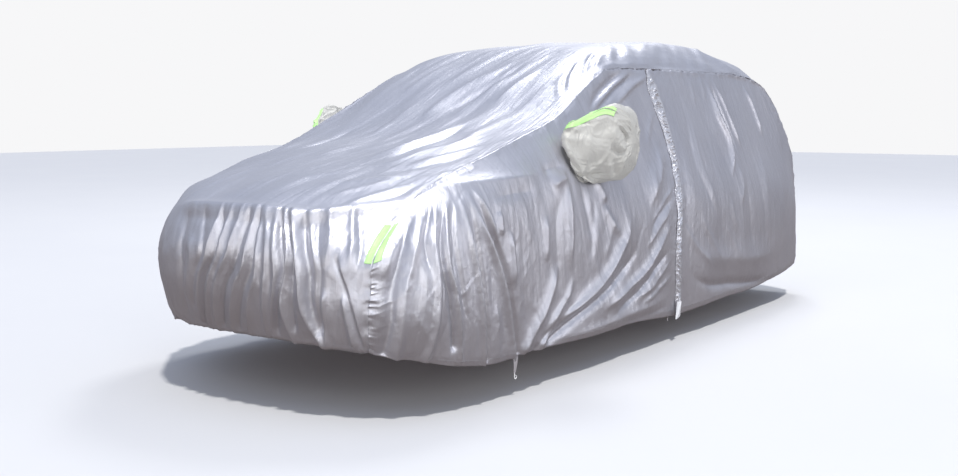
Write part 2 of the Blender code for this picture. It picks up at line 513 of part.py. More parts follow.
# ------------------------------------------------------------------------ panels
def top_rows():
    """Stations of the rows and the places across each row."""
    upright = np.array(UPRIGHT)
    front = CORNER * (1 - upright[::-1])
    middle = np.array([5.34, 5.67, 6.0, 6.33, 6.67, 7.0, 7.33, 7.67, 8.0, 8.33, 8.67, 9.0,
                       9.33, 9.67, 10.0, 10.4, 10.8, 11.2, 11.6, 12.0, 12.25, 12.5, 12.75,
                       13.0, 13.25, 13.5, 13.75, 14.0, 14.4, 14.8, 15.2, 15.6])
    rear = REAR + (LAST - REAR) * upright
    stations = np.concatenate([front, middle, rear])
    fineness = ((0, 50), (4.2, 50), (5.34, 26), (9, 24), (13, 18), (16, 18), (17, 24), (21, 24))
    counts = np.interp(stations, *zip(*fineness))
    width = 0.5 * np.interp(stations, STATION_PLACES, STATION_SIZES[:, 0] - STATION_SIZES[:, 3])
    places = []
    for count, half in zip(counts, width):
        inner = 1 - STRIP_WIDTH / half
        between = np.linspace(-inner, inner, int(round(count)) - 1)
        places.append(np.concatenate([[-1], between, [1]]))
    return stations, places


def build_top_panel(material):
    stations, places = top_rows()
    rows = []
    for station, across in zip(stations, places):
        rows.append(top_point(np.full(len(across), station), across)[0])
    rows = tuck_edges(rows, ((0, 1), (-1, -2)))
    starts = np.concatenate([[0], np.cumsum([len(row) for row in rows])])
    left = seam_normal(stations, 1)
    right = seam_normal(stations, -1)
    fixed = {}
    for k in range(len(rows)):
        fixed[starts[k]] = right[k]
        fixed[starts[k + 1] - 1] = left[k]
    return make_sheet("top_panel", rows, places, material, fixed=fixed), stations


def side_rows(first, last, steps, stations, hand):
    """Rows of a side panel from seam to hem; the seam row uses the top panel's stations."""
    lines = np.arange(SIDE_LAST + 1)
    on_seam = stations[(stations >= CORNER - 1e-9) & (stations <= REAR + 1e-9)]
    fine = np.linspace(0, SIDE_LAST, 4001)
    back = smooth(lines, SEAM_STARTS, fine)[:, 0]
    seam_lines = np.interp(on_seam, back, fine)
    inside = (seam_lines > first + 0.02) & (seam_lines < last - 0.02)
    top = np.concatenate([[first], seam_lines[inside], [last]])
    along = []
    for start, end, count in steps:
        along.append(np.linspace(start, end, count, endpoint=False))
    along = np.concatenate(along + [[last]])
    return [top] + [along] * (len(UPRIGHT) - 1)


def build_side(name, first, last, steps, stations, hand, material):
    places = side_rows(first, last, steps, stations, hand)
    rows = []
    for level, line in zip(UPRIGHT, places):
        rows.append(side_point(line, np.full(len(line), level), hand)[0])
    starts = np.concatenate([[0], np.cumsum([len(row) for row in rows])])
    down = rows[1][np.searchsorted(places[1], places[0]).clip(0, len(places[1]) - 1)] - rows[0]
    down /= np.linalg.norm(down, axis=1, keepdims=True)
    fixed = {}
    top_station = smooth(np.arange(SIDE_LAST + 1), SEAM_STARTS, places[0])[:, 0]
    for k, direction in enumerate(seam_normal(top_station, hand)):
        fixed[k] = direction
    upright = np.array(UPRIGHT)
    for edge, station, column in (
            (0, CORNER * (1 - upright), 0), (SIDE_LAST, REAR + (LAST - REAR) * upright, -1)):
        if (first if column == 0 else last) != edge:
            continue
        for k, direction in enumerate(seam_normal(station, hand)):
            number = starts[k] if column == 0 else starts[k + 1] - 1
            fixed[number] = direction
    rows = tuck_edges(rows, ((0, 1), (-1, -2)))
    rows[0] = rows[0] + down * GAP * 0.5
    return make_sheet(name, rows, places, material, fixed=fixed)


def build_zip_ribbon(material):
    """Puckered ribbon between the two left panels, straight between the panels' rows."""
    half = ZIP_HALF
    across = np.array((-1.0, -0.45, 0.0, 0.45, 1.0))
    coarse = []
    for level in UPRIGHT:
        line = np.full(len(across), ZIP_LINE) + across * half
        coarse.append(side_point(line, np.full(len(across), level), 1)[0])
    coarse = np.array(coarse)
    rows = []
    for k in range(len(UPRIGHT) - 1):
        for part in range(PUCKERS_PER_ROW):
            rows.append(coarse[k] + (coarse[k + 1] - coarse[k]) * part / PUCKERS_PER_ROW)
    rows.append(coarse[-1])
    rows[0] = rows[0] + (rows[1] - rows[0]) * 0.01
    for k, row in enumerate(rows):
        lift = ZIP_PUCKER * (0.35 + 0.65 * (k % 2)) * (1 - 0.6 * across ** 2)
        lift[0] = lift[-1] = 0
        row += np.array((1.0, 0.0, 0.12)) * lift[:, None]
        row[0] += (row[1] - row[0]) * GAP / np.linalg.norm(row[1] - row[0])
        row[-1] += (row[-2] - row[-1]) * GAP / np.linalg.norm(row[-2] - row[-1])
    return make_sheet("door_zip_ribbon", rows, [across] * len(rows), material, thickness=0.0016)


def build_corner_bands(panel, rows, columns, name, material):
    """Reflective band laid on one panel beside the corner seam, facet on facet."""
    _, points, starts, normal, places = panel
    picked = []
    picked_places = []
    for k in rows:
        count = starts[k + 1] - starts[k]
        numbers = [starts[k] + (c if c >= 0 else count + c) for c in columns]
        lift = points[numbers] + normal[numbers] * (2 * GAP + TRIM)
        lift[0] += (lift[1] - lift[0]) * 0.05
        lift[1] += (lift[0] - lift[1]) * 0.05
        picked.append(lift)
        picked_places.append(places[k][list(columns)])
    return make_sheet(name, picked, picked_places, material, thickness=TRIM)


# ----------------------------------------------------------------- mirror pockets
def pocket_rings(hand):
    """Outer rings of a mirror pocket, from its seam in the panel to its tip."""
    turn = np.radians(POCKET_TURNS)
    cosine, sine = np.cos(turn), np.sin(turn)
    power = 2 / POCKET_SQUARENESS
    along = np.sign(cosine) * np.abs(cosine) ** power
    up = np.sign(sine) * np.abs(sine) ** power
    line, level, half_line, half_level = POCKET_SEAT
    seat, _ = side_point(line + half_line * along, level - half_level * up, hand)
    away = np.array((hand, 0, 0))
    rings = [seat - POCKET_ALLOWANCE * away, seat + POCKET_ALLOWANCE * away]
    for number, (_, x, y, h, half_y, half_h) in enumerate(POCKET_RINGS):
        if hand < 0:
            x = POCKET_RINGS[0][1] + FAR_POCKET_REACH * (x - POCKET_RINGS[0][1])
            y += FAR_POCKET_SHIFT
            half_y *= FAR_POCKET_WIDTH
        ring = np.stack([np.full(POCKET_SIDES, x * hand), y + half_y * along, h + half_h * up], -1)
        clear = np.abs(seat[:, 0]) + POCKET_ALLOWANCE * (number + 2)
        ring[:, 0] = hand * (np.maximum(x, clear) + 0.004 * np.sin(3 * turn + x * 20))
        rings.append(ring)
    return rings, seat


def build_pocket(name, hand, material):
    rings, seat = pocket_rings(hand)
    count = POCKET_SIDES
    last_ring = rings[-1].mean(0) + (hand * 0.006, 0, 0)
    points = np.vstack(rings + [last_ring[None]])
    tip = len(points) - 1
    faces = []
    for k in range(len(rings) - 1):
        for side in range(count):
            a, b = k * count + side, k * count + (side + 1) % count
            faces.append((a, b, b + count))
            faces.append((a, b + count, a + count))
    last = (len(rings) - 1) * count
    for side in range(count):
        faces.append((last + side, last + (side + 1) % count, tip))
    normal = vertex_normals(points, faces)
    if normal[tip][0] * hand < 0:
        faces = [face[::-1] for face in faces]
        normal = -normal
    middle = rings[0].mean(0)
    spoke = rings[0] - middle
    spoke[:, 0] = 0
    normal[:count] = spoke / np.linalg.norm(spoke, axis=1, keepdims=True)
    normal[count:2 * count] = normal[:count]
    inner = points - CLOTH * normal
    total = len(points)
    solid = list(faces) + [tuple(total + k for k in face[::-1]) for face in faces]
    for side in range(count):
        a, b = side, (side + 1) % count
        if (a, b) in {(face[0], face[1]) for face in faces[:2 * count]}:
            solid += [(a, total + a, total + b), (a, total + b, b)]
        else:
            solid += [(b, total + b, total + a), (b, total + a, a)]
    pocket = make_object(name, np.vstack([points, inner]), solid, material)
    return pocket, points, normal, seat


def cut_pocket_hole(panel, seat, hand):
    """Hole in the side panel that the pocket's wall passes through, a gap clear of it."""
    middle = seat.mean(0)
    spoke = seat - middle
    spoke[:, 0] = 0
    ring = seat + spoke / np.linalg.norm(spoke, axis=1, keepdims=True) * GAP
    count = len(ring)
    reach = np.array((0.12, 0.0, 0.0))
    outer = ring + reach
    inner = ring - reach
    points = np.vstack([outer, inner])
    sides = [(k, (k + 1) % count, count + (k + 1) % count, count + k) for k in range(count)]
    caps = [tuple(reversed(range(count))), tuple(range(count, 2 * count))]
    faces = sides + caps
    cutter = make_object(panel.name + "_hole_guide", points, faces, panel.data.materials[0])
    flip_if_inside_out(cutter.data)
    cutter.hide_render = True
    cutter.display_type = "WIRE"
    cut = panel.modifiers.new("pocket_hole", "BOOLEAN")
    cut.operation = "DIFFERENCE"
    cut.object = cutter


def flip_if_inside_out(mesh):
    """Turn a closed mesh so that its faces point out."""
    volume = 0.0
    for face in mesh.polygons:
        corners = [mesh.vertices[k].co for k in face.vertices]
        for k in range(1, len(corners) - 1):
            volume += corners[0].dot(corners[k].cross(corners[k + 1]))
    if volume < 0:
        mesh.flip_normals()


def build_pocket_bands(side_word, hand, pocket, material):
    """Two reflective bands along the pocket's upper front edge, a seam apart."""
    _, points, normal, _ = pocket
    count = POCKET_SIDES
    for order, side in enumerate(POCKET_BAND_SIDES):
        rows = []
        for ring in range(2, POCKET_BAND_RINGS + 2):
            pair = [ring * count + side, ring * count + side + 1]
            lift = points[pair] + normal[pair] * (GAP + TRIM)
            run = lift[1] - lift[0]
            rows.append(np.array([lift[0] + 0.06 * run, lift[1] - 0.06 * run]))
        name = f"pocket_band_{side_word}_{'front' if order else 'top'}"
        make_sheet(name, rows, [np.array((0.0, 1.0))] * len(rows), material, thickness=TRIM)


# -------------------------------------------------------------------- small parts
def build_plate(name, outline, place, thickness, material):
    """Flat piece standing in the y h plane, its outline as y h, set at x."""
    outline = np.array(outline, float)
    front = np.column_stack([np.full(len(outline), place), outline])
    back = front - (thickness, 0, 0)
    count = len(outline)
    faces = [tuple(range(count)), tuple(reversed(range(count, 2 * count)))]
    faces += [(k, count + k, count + (k + 1) % count, (k + 1) % count) for k in range(count)]
    item = make_object(name, np.vstack([front, back]), faces, material)
    flip_if_inside_out(item.data)
    return item


def build_zip_tab(material):
    """Stitched end flap over the foot of the zip ribbon."""
    low, high, middle = 0.128, 0.212, 0.247
    foot = np.full(3, ZIP_LINE) + np.array((-ZIP_HALF, 0, ZIP_HALF))
    place = max(side_point(foot, np.full(3, level), 1)[0][:, 0].max() for level in UPRIGHT[-2:])
    place += ZIP_PUCKER + 0.003
    outline = ((middle - 0.034, low - 0.004), (middle + 0.026, low + 0.004),
               (middle + 0.016, high), (middle - 0.016, high))
    return build_plate("zip_end_tab", outline, place, 0.0016, material)


def build_wheel_strap(webbing, plastic):
    """Short strap that hangs from the hem at the front wheel, with its end clip."""
    y, top, low, half = -1.253, 0.196, 0.100, 0.011
    outline = ((y - half, low), (y + half, low), (y + half, top), (y - half, top))
    build_plate("wheel_strap", outline, 0.880, 0.0015, webbing)
    clip_top = low - GAP
    clip = ((y - 0.009, clip_top - 0.026), (y - 0.002, clip_top - 0.030),
            (y + 0.009, clip_top - 0.022), (y + 0.009, clip_top), (y - 0.009, clip_top),
            (y - 0.009, clip_top - 0.008), (y + 0.003, clip_top - 0.009),
            (y + 0.003, clip_top - 0.019), (y - 0.009, clip_top - 0.017))
    build_plate("wheel_strap_clip", clip, 0.881, 0.0035, plastic)
    loop = ((0.145, 0.116), (0.152, 0.116), (0.153, 0.160), (0.146, 0.160))
    build_plate("hem_cord_end", loop, 0.880, 0.0025, webbing)


# ------------------------------------------------------------------------ assembly
def main():
    materials = {name: make_material(name) for name in MATERIALS}
    silver = materials["silver_cloth"]
    green = materials["reflective_band"]
    top, stations = build_top_panel(silver)
    left_front = build_side(
        "side_panel_left_front", 0, ZIP_LINE - ZIP_HALF,
        ((0, 0.17, 1), (0.17, 1.0, 5), (1.0, 2.0, 7), (2.0, 4.0, 16), (4.0, 5.0, 6), (5.0, 6.0, 6),
         (6.0, ZIP_LINE - ZIP_HALF, 16)), stations, 1, silver)
    left_rear = build_side(
        "side_panel_left_rear", ZIP_LINE + ZIP_HALF, SIDE_LAST,
        ((ZIP_LINE + ZIP_HALF, 11.0, 24), (11.0, SIDE_LAST, 10)), stations, 1, silver)
    right = build_side(
        "side_panel_right", 0, SIDE_LAST,
        ((0, 0.17, 1), (0.17, 1.0, 3), (1.0, 4.0, 10), (4.0, 8.0, 14), (8.0, 11.0, 10),
         (11.0, SIDE_LAST, 6)), stations, -1, silver)
    build_zip_ribbon(materials["zip_ribbon"])
    low, high = BAND_STATIONS
    band_rows = [k for k, station in enumerate(stations) if low < station < high]
    side_band_rows = [k for k, level in enumerate(UPRIGHT) if low < CORNER * (1 - level) < high]
    build_corner_bands(top, band_rows, (-2, -1), "corner_band_left_inner", green)
    build_corner_bands(left_front, side_band_rows, (0, 1), "corner_band_left_outer", green)
    build_corner_bands(top, band_rows, (0, 1), "corner_band_right_inner", green)
    build_corner_bands(right, side_band_rows, (0, 1), "corner_band_right_outer", green)
    for word, hand, panel in (("left", 1, left_front), ("right", -1, right)):
        pocket = build_pocket(f"mirror_pocket_{word}", hand, materials["pocket_cloth"])
        cut_pocket_hole(panel[0], pocket[3], hand)
        build_pocket_bands(word, hand, pocket, green)
    build_zip_tab(materials["zip_ribbon"])
    build_wheel_strap(materials["strap_webbing"], materials["clip_plastic"])


main()
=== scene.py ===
# %% [markdown]
# # A fitted cover in silver coated cloth
#
# The real thing is cut like a tailored coat: one long panel runs from the front hem over
# the hood, glass and roof down to the rear hem, and side panels are sewn to it. Elastic
# draws the ends in, so the cloth is gathered into pleats wherever a long edge was sewn to
# a short one. This notebook makes each panel as a thin sheet whose pleats come from tables
# of their crests, then sews on its trims, and lights it like a plain studio picture.

import math

import bpy
import numpy as np
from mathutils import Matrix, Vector


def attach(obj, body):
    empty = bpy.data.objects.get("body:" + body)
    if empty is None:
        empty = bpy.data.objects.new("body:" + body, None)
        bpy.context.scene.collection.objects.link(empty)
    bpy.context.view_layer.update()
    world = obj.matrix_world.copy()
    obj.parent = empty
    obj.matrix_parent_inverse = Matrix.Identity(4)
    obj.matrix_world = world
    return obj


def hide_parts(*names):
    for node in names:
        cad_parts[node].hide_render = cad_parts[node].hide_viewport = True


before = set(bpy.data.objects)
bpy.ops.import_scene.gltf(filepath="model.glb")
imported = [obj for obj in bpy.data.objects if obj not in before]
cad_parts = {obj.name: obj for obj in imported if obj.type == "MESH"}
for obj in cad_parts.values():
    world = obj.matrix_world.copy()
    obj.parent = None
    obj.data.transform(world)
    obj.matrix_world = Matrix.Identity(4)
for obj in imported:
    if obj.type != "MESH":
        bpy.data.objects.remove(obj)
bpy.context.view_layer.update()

# %% [markdown]
# ## Where things are
# The tables below give places with the height above the floor, and y along the cover, with
# its front at the negative end. The part's own origin is the point under the roof that
# carries the cover, so everything is moved by REST_PLACE at the end.

# %% Sizes that the whole scene shares, in metres
REST_PLACE = np.array((0.0, 0.60, 1.602))
FLOOR_HEIGHT = -REST_PLACE[2]
HALF_FLOOR = 30.0
CLOTH = 0.0012            # sheet thickness
TRIM_LIFT = 0.0020        # reflective bands stand this far off the cloth
STRIP_WIDTH = 0.026
INSIDE = np.array((0.0, 0.0, 0.7))      # a place within the cover: cloth faces away from it


def placed(points):
    """Table places as places in the part's own frame."""
    return np.asarray(points, float) - REST_PLACE


def add_object(name, data):
    """Object for a mesh, light or camera, linked into the scene."""
    item = bpy.data.objects.new(name, data)
    bpy.context.scene.collection.objects.link(item)
    return item


# %% [markdown]
# ## Camera
# A fairly long lens a little above the hood, looking down the cover's near side, as in the
# photograph. Its place came from matching the mirrored seams and the hems.

# %% Camera
camera_data = bpy.data.cameras.new("camera")
camera_data.sensor_width = 36.0
camera_data.lens = 42.39
camera = add_object("camera", camera_data)
camera.location = placed((3.54, -5.12, 1.185))
camera.rotation_euler = (math.radians(83.8), 0.0, math.radians(36.4))
bpy.context.scene.camera = camera
print("camera at", [round(x, 3) for x in camera.location], "lens", camera_data.lens, "mm")

# %% [markdown]
# ## Writing shaders as sums
# A material is a graph of small nodes. The class below lets a line of ordinary Python,
# such as `0.4 + 0.2 * crinkle`, add the Math nodes it needs.

# %% A socket that can be added and multiplied


class Wire:
    """A node's output socket; arithmetic on it adds Math nodes."""

    def __init__(self, tree, socket=None):
        self.tree, self.socket = tree, socket

    def node(self, kind, settings=(), output=0, **values):
        """A new node with its settings, and its sockets by name or numbered as i0, i1."""
        item = self.tree.nodes.new(kind)
        for name, value in dict(settings).items():
            setattr(item, name, value)
        for name, value in values.items():
            socket = item.inputs[int(name[1:]) if name[1:].isdigit() else name.replace("_", " ")]
            if isinstance(value, Wire):
                self.tree.links.new(value.socket, socket)
            else:
                socket.default_value = value
        return Wire(self.tree, item.outputs[output])

    def math(self, operation, second=0.0):
        return self.node("ShaderNodeMath", {"operation": operation}, i0=self, i1=second)

    def __add__(self, other):
        return self.math("ADD", other)

    def __sub__(self, other):
        return self.math("SUBTRACT", other)

    def __mul__(self, other):
        return self.math("MULTIPLY", other)

    def __abs__(self):
        return self.math("ABSOLUTE")

    __radd__, __rmul__ = __add__, __mul__

    def blend(self, first, second):
        """Mix of two colours, with this wire as the share of the second."""
        return self.node("ShaderNodeMix", {"data_type": "RGBA"}, output=2, i0=self,
                         i6=(*first, 1.0), i7=(*second, 1.0))

    def noise(self, scale, detail=3.0, roughness=0.5, distortion=0.0):
        """Noise read at this wire's places."""
        return self.node("ShaderNodeTexNoise", Vector=self, Scale=scale, Detail=detail,
                         Roughness=roughness, Distortion=distortion)

    def ribs(self, scale, way):
        """Even bands read at this wire's places."""
        return self.node("ShaderNodeTexWave", {"bands_direction": way}, Vector=self, Scale=scale)


def plug(item, name, wire):
    """Link a wire into a node's socket."""
    wire.tree.links.new(wire.socket, item.inputs[name])


# %% [markdown]
# ## Light and floor
# Silver cloth shows its pleats only if something bright and something dim are reflected in
# it. One key stands in for a high sun. Four soft boxes light the front, the side, the fan
# of pleats between them and the back. A ramp from warm grey below to blue overhead stands
# in for the sky, while the camera itself sees a plain pale backdrop.

# %% Lights


def aim(item, direction):
    item.rotation_euler = Vector(direction).to_track_quat("Z", "Y").to_euler()


# name, place, side in metres, watts, colour
SOFT_BOXES = (
    ("front_sheet", (1.2, -10.0, 0.0), 2.2, 90.0, (1.0, 0.98, 0.96)),
    ("side_sheet", (8.5, 2.6, 0.4), 2.4, 95.0, (0.97, 0.97, 1.0)),
    ("fan_sheet", (7.4, -6.6, 1.6), 2.4, 140.0, (1.0, 0.99, 0.97)),
    ("back_sheet", (-2.2, 6.2, 9.5), 3.0, 480.0, (0.98, 0.99, 1.0)),
)
COVER_MIDDLE = Vector((0.0, 0.0, -0.8))
for name, place, side, watts, colour in SOFT_BOXES:
    light = bpy.data.lights.new(name, "AREA")
    light.shape = "SQUARE"
    light.size = side
    light.energy = watts
    light.color = colour
    box = add_object(name, light)
    box.location = place
    aim(box, box.location - COVER_MIDDLE)

KEY_DIRECTION = (0.29, -0.22, 0.93)
key_light = bpy.data.lights.new("key", "SUN")
key_light.energy = 2.2
key_light.angle = math.radians(3.5)
key_light.color = (1.0, 0.98, 0.95)
aim(add_object("key", key_light), KEY_DIRECTION)
print("key light from", KEY_DIRECTION)

# %% Sky and floor
# share of the way from straight down to straight up, colour
SKY_STOPS = ((0.00, (0.19, 0.15, 0.14)), (0.46, (0.23, 0.20, 0.20)), (0.51, (0.25, 0.25, 0.28)),
             (0.57, (0.38, 0.39, 0.45)), (0.68, (0.40, 0.44, 0.53)), (1.00, (0.50, 0.58, 0.78)))
BACKDROP = (0.93, 0.93, 0.94, 1.0)
world = bpy.data.worlds.new("studio")
world.use_nodes = True
sky = world.node_tree.nodes["Background"]
start = Wire(world.node_tree)
direction = start.node("ShaderNodeTexCoord", output="Generated")
up = start.node("ShaderNodeSeparateXYZ", output="Z", Vector=direction)
fade = start.node("ShaderNodeValToRGB", Fac=0.5 * up + 0.5)
stops = fade.socket.node.color_ramp.elements
for share, colour in SKY_STOPS[1:-1]:
    stops.new(share).color = (*colour, 1.0)
stops[0].color = (*SKY_STOPS[0][1], 1.0)
stops[-1].color = (*SKY_STOPS[-1][1], 1.0)
plug(sky, "Color", fade)
from_camera = start.node("ShaderNodeLightPath", output="Is Camera Ray")
seen = start.node("ShaderNodeMixShader", i0=from_camera, i1=Wire(world.node_tree, sky.outputs[0]),
                  i2=start.node("ShaderNodeBackground", Color=BACKDROP))
plug(world.node_tree.nodes["World Output"], "Surface", seen)
bpy.context.scene.world = world
bpy.context.scene.view_settings.view_transform = "Standard"

floor_mesh = bpy.data.meshes.new("floor")
FLOOR_CORNERS = ((-1, -1), (1, -1), (1, 1), (-1, 1))
floor_mesh.from_pydata([(HALF_FLOOR * x, HALF_FLOOR * y, FLOOR_HEIGHT) for x, y in FLOOR_CORNERS],
                       [], [(0, 1, 2, 3)])
floor = add_object("floor", floor_mesh)
floor.visible_glossy = False        # the cloth mirrors the dim foot of the sky instead
print("sky with", len(stops), "stops")

# %% [markdown]
# ## The finishes
# Silver cover cloth is polyester with an aluminium-filled coating: half mirror, half
# paint. Its fine crumpling is far smaller than a pleat, so it goes in the bump. The mirror
# pockets are the same cloth with a cream coat, and the bands are lime reflective tape with
# a faint painted glow.

# %% Recipes: each gives colour, roughness and then, if any, relief, its depth and strength


def silver_cloth(place):
    cut = place.node("ShaderNodeTexCoord", output="UV")
    stretched = place.node("ShaderNodeMapping", Vector=cut, Scale=(1.6, 22.0, 1.0))
    streaks = stretched.noise(1.0, 4.0, 0.55, 0.3)
    folds = place.noise(11.0, 2.0, 0.5, 0.6)
    crumple = place.noise(27.0, 2.0, 0.5, 0.5)
    fine = place.noise(110.0, 3.0, 0.6)
    worn = place.noise(2.3, 4.0, 0.55)
    relief = 0.60 * streaks - 0.45 * abs(folds - 0.5) - 0.22 * abs(crumple - 0.5)
    relief = relief + 0.03 * fine + 0.008 * cut.ribs(330.0, "X")
    colour = worn.blend((0.56, 0.56, 0.605), (0.66, 0.655, 0.69))
    return colour, 0.37 + 0.08 * worn + 0.06 * fine, relief, 0.011, 0.6


def cream_cloth(place):
    crinkle = place.noise(34.0, 5.0, 0.6, 0.5)
    folds = place.noise(13.0, 2.0, 0.5, 0.9)
    relief = 0.15 * crinkle - 1.2 * abs(folds - 0.5) + 0.01 * place.ribs(260.0, "Z")
    colour = place.noise(7.0, 3.0).blend((0.46, 0.45, 0.41), (0.60, 0.59, 0.55))
    return colour, 0.46 + 0.12 * crinkle, relief, 0.016, 0.6


def lime_tape(place):
    cells = place.node("ShaderNodeTexVoronoi", {"feature": "DISTANCE_TO_EDGE"},
                       Vector=place, Scale=260.0)
    worn = place.noise(40.0)
    colour = worn.blend((0.46, 0.80, 0.27), (0.60, 0.92, 0.42))
    return colour, 0.36 + 0.14 * worn, cells.math("MINIMUM", 0.08), 0.0015, 0.5


def gathered_ribbon(dark, light):
    def recipe(place):
        crinkle = place.noise(60.0, 4.0, 0.6, 0.4)
        # the colour follows the crinkle that also makes the bump: painted shade in its hollows, painted
        # highlight on its crests
        return crinkle.blend(dark, light), 0.30 + 0.14 * crinkle, crinkle, 0.003, 0.6
    return recipe


def webbing(place):
    ribs = place.ribs(190.0, "Z")
    weave = place.noise(300.0, 2.0)
    # the colour follows the ribs and weave that also make the bump: painted shade in their grooves
    colour = (ribs * weave).blend((0.30, 0.28, 0.29), (0.66, 0.62, 0.62))
    return colour, 0.62 + 0.2 * weave, ribs + 0.5 * weave, 0.0008, 0.8


def moulded_plastic(place):
    scuff = place.noise(55.0, 4.0)
    colour = scuff.blend((0.74, 0.74, 0.72), (0.88, 0.88, 0.87))
    return colour, 0.30 + 0.18 * scuff, place.noise(420.0, 2.0), 0.0003, 0.5


def stitch_thread(place):
    twist = place.ribs(900.0, "DIAGONAL")
    return twist.blend((0.36, 0.36, 0.39), (0.52, 0.52, 0.55)), 0.45 + 0.2 * twist


def floor_paint(place):
    mottle = place.noise(0.8, 4.0)
    return mottle.blend((0.64, 0.64, 0.65), (0.67, 0.67, 0.67)), 0.86 + 0.06 * mottle


# %% The recipes as materials


def finish(name, recipe, **inputs):
    """Principled material from a recipe, with some of the shader's inputs set."""
    material = bpy.data.materials.new(name)
    material.use_nodes = True
    shader = material.node_tree.nodes["Principled BSDF"]
    place = Wire(material.node_tree).node("ShaderNodeTexCoord", output="Object")
    colour, roughness, *relief = recipe(place)
    plug(shader, "Base Color", colour)
    plug(shader, "Roughness", roughness)
    if relief:
        height, distance, strength = relief
        plug(shader, "Normal", place.node("ShaderNodeBump", Height=height, Distance=distance,
                                          Strength=strength))
    for word, value in inputs.items():
        shader.inputs[word.replace("_", " ")].default_value = value
    return material


silver = finish("silver_cloth", silver_cloth, Metallic=0.88)
cream = finish("pocket_cloth", cream_cloth, Metallic=0.25)
# The tape's faint emission is a painted glow: it stands in for the light that reflective tape throws back.
lime = finish("reflective_band", lime_tape,
              Emission_Color=(0.42, 1.0, 0.20, 1.0), Emission_Strength=0.10)
ribbon_finish = finish("zip_ribbon", gathered_ribbon((0.62, 0.62, 0.66), (0.80, 0.80, 0.83)),
                       Metallic=0.70)
tab_finish = finish("zip_tab", gathered_ribbon((0.66, 0.66, 0.68), (0.80, 0.80, 0.80)),
                    Metallic=0.05)
strap_finish = finish("strap_webbing", webbing)
clip_finish = finish("clip_plastic", moulded_plastic)
thread_finish = finish("stitch_thread", stitch_thread)
floor_mesh.materials.append(finish("floor_finish", floor_paint))
print("finishes:", [material.name for material in bpy.data.materials][:9])

# %% [markdown]
# ## The shape under the pleats
# The smooth shape that the cloth hangs in comes first. A station is one cut across the top
# panel; each side panel hangs from the seam on upright lines. A cubic curve runs through
# the rows, so a few rows give a fair surface. Part of the places, most of all the left seam's,
# came from points picked in the photograph, which a separate program set at a chosen x or y.
# The others were judged.

# %% Stations of the top panel
# name, then in mm: left seam x y h, right seam x y h, centre y h; y power, h power of the crown
STATIONS = (
    ("front_hem", 700, -1973, 275, -560, -1900, 262, -2060, 300, 2.2, 2.2),
    ("bumper_low", 715, -1993, 430, -615, -1895, 420, -2120, 440, 2.4, 2.2),
    ("bumper", 715, -1980, 523, -635, -1885, 510, -2140, 560, 2.6, 2.2),
    ("grille", 710, -1955, 638, -635, -1865, 615, -2130, 690, 2.8, 2.6),
    ("hood_lip", 700, -1839, 750, -655, -1785, 712, -2050, 820, 2.8, 3.0),
    ("hood_corner", 715, -1693, 874, -688, -1690, 832, -1870, 900, 2.6, 3.0),
    ("hood_front", 735, -1506, 953, -712, -1500, 897, -1600, 970, 2.2, 2.6),
    ("hood_middle", 745, -1287, 1016, -737, -1287, 967, -1310, 1030, 2.0, 2.4),
    ("hood_back", 740, -1004, 1095, -735, -1004, 1040, -990, 1095, 2.0, 2.4),
    ("cowl", 715, -705, 1173, -707, -705, 1178, -690, 1210, 2.0, 2.4),
    ("glass_middle", 690, -473, 1278, -688, -473, 1288, -390, 1370, 2.0, 3.4),
    ("glass_top", 660, -237, 1380, -666, -237, 1400, -80, 1500, 2.0, 4.6),
    ("roof_front", 650, -60, 1423, -655, -60, 1438, 140, 1558, 2.0, 5.4),
    ("roof_middle", 645, 500, 1433, -645, 500, 1440, 580, 1604, 2.0, 5.5),
    ("roof_back", 643, 1100, 1435, -638, 1100, 1430, 1120, 1620, 2.0, 5.5),
    ("tail_edge", 640, 1476, 1438, -635, 1476, 1434, 1560, 1598, 2.2, 4.5),
    ("rear_corner", 665, 1820, 1378, -660, 1820, 1374, 1920, 1505, 2.4, 3.4),
    ("rear_glass", 715, 2010, 1190, -710, 2010, 1185, 2100, 1230, 2.6, 2.6),
    ("tailgate", 760, 2150, 920, -755, 2150, 915, 2250, 930, 2.8, 2.2),
    ("rear_bumper", 775, 2195, 620, -770, 2195, 615, 2300, 620, 2.8, 2.2),
    ("rear_low", 780, 2200, 400, -775, 2200, 400, 2300, 400, 2.6, 2.2),
    ("rear_hem", 785, 2205, 240, -780, 2205, 245, 2280, 240, 2.4, 2.2),
)
CORNER, REAR, LAST = 5, 16, len(STATIONS) - 1

# %% Upright lines of the side panels
# name, seam station where the line starts, then shoulder, waist, low and hem as x y h in mm
SIDE_LINES = (
    ("fender_front", 5.35, (795, -1735, 770), (840, -1800, 590), (850, -1835, 400), (820, -1810, 238)),
    ("fender_fan", 5.75, (835, -1610, 800), (880, -1660, 600), (890, -1680, 400), (870, -1660, 200)),
    ("wheel_front", 6.30, (855, -1430, 830), (895, -1450, 610), (905, -1460, 390), (890, -1450, 172)),
    ("wheel_back", 7.00, (860, -1250, 860), (900, -1240, 620), (908, -1230, 390), (895, -1210, 174)),
    ("door_edge", 8.00, (855, -980, 890), (900, -960, 640), (908, -940, 390), (900, -910, 168)),
    ("mirror", 9.00, (845, -680, 920), (900, -650, 660), (908, -600, 400), (900, -570, 166)),
    ("door_front", 10.50, (820, -280, 960), (895, -260, 690), (906, -220, 410), (898, -180, 165)),
    ("door_zip", 12.68, (790, 330, 1010), (885, 260, 720), (905, 217, 430), (892, 250, 135)),
    ("door_back", 13.60, (790, 820, 1010), (880, 800, 720), (900, 780, 430), (890, 790, 150)),
    ("wheel_rear", 14.40, (785, 1260, 1000), (870, 1270, 710), (892, 1270, 430), (880, 1270, 150)),
    ("quarter", 15.20, (780, 1640, 990), (860, 1690, 700), (878, 1690, 430), (872, 1660, 180)),
    ("corner_rear", 15.72, (768, 1880, 980), (832, 1985, 690), (850, 1995, 430), (852, 2010, 212)),
)
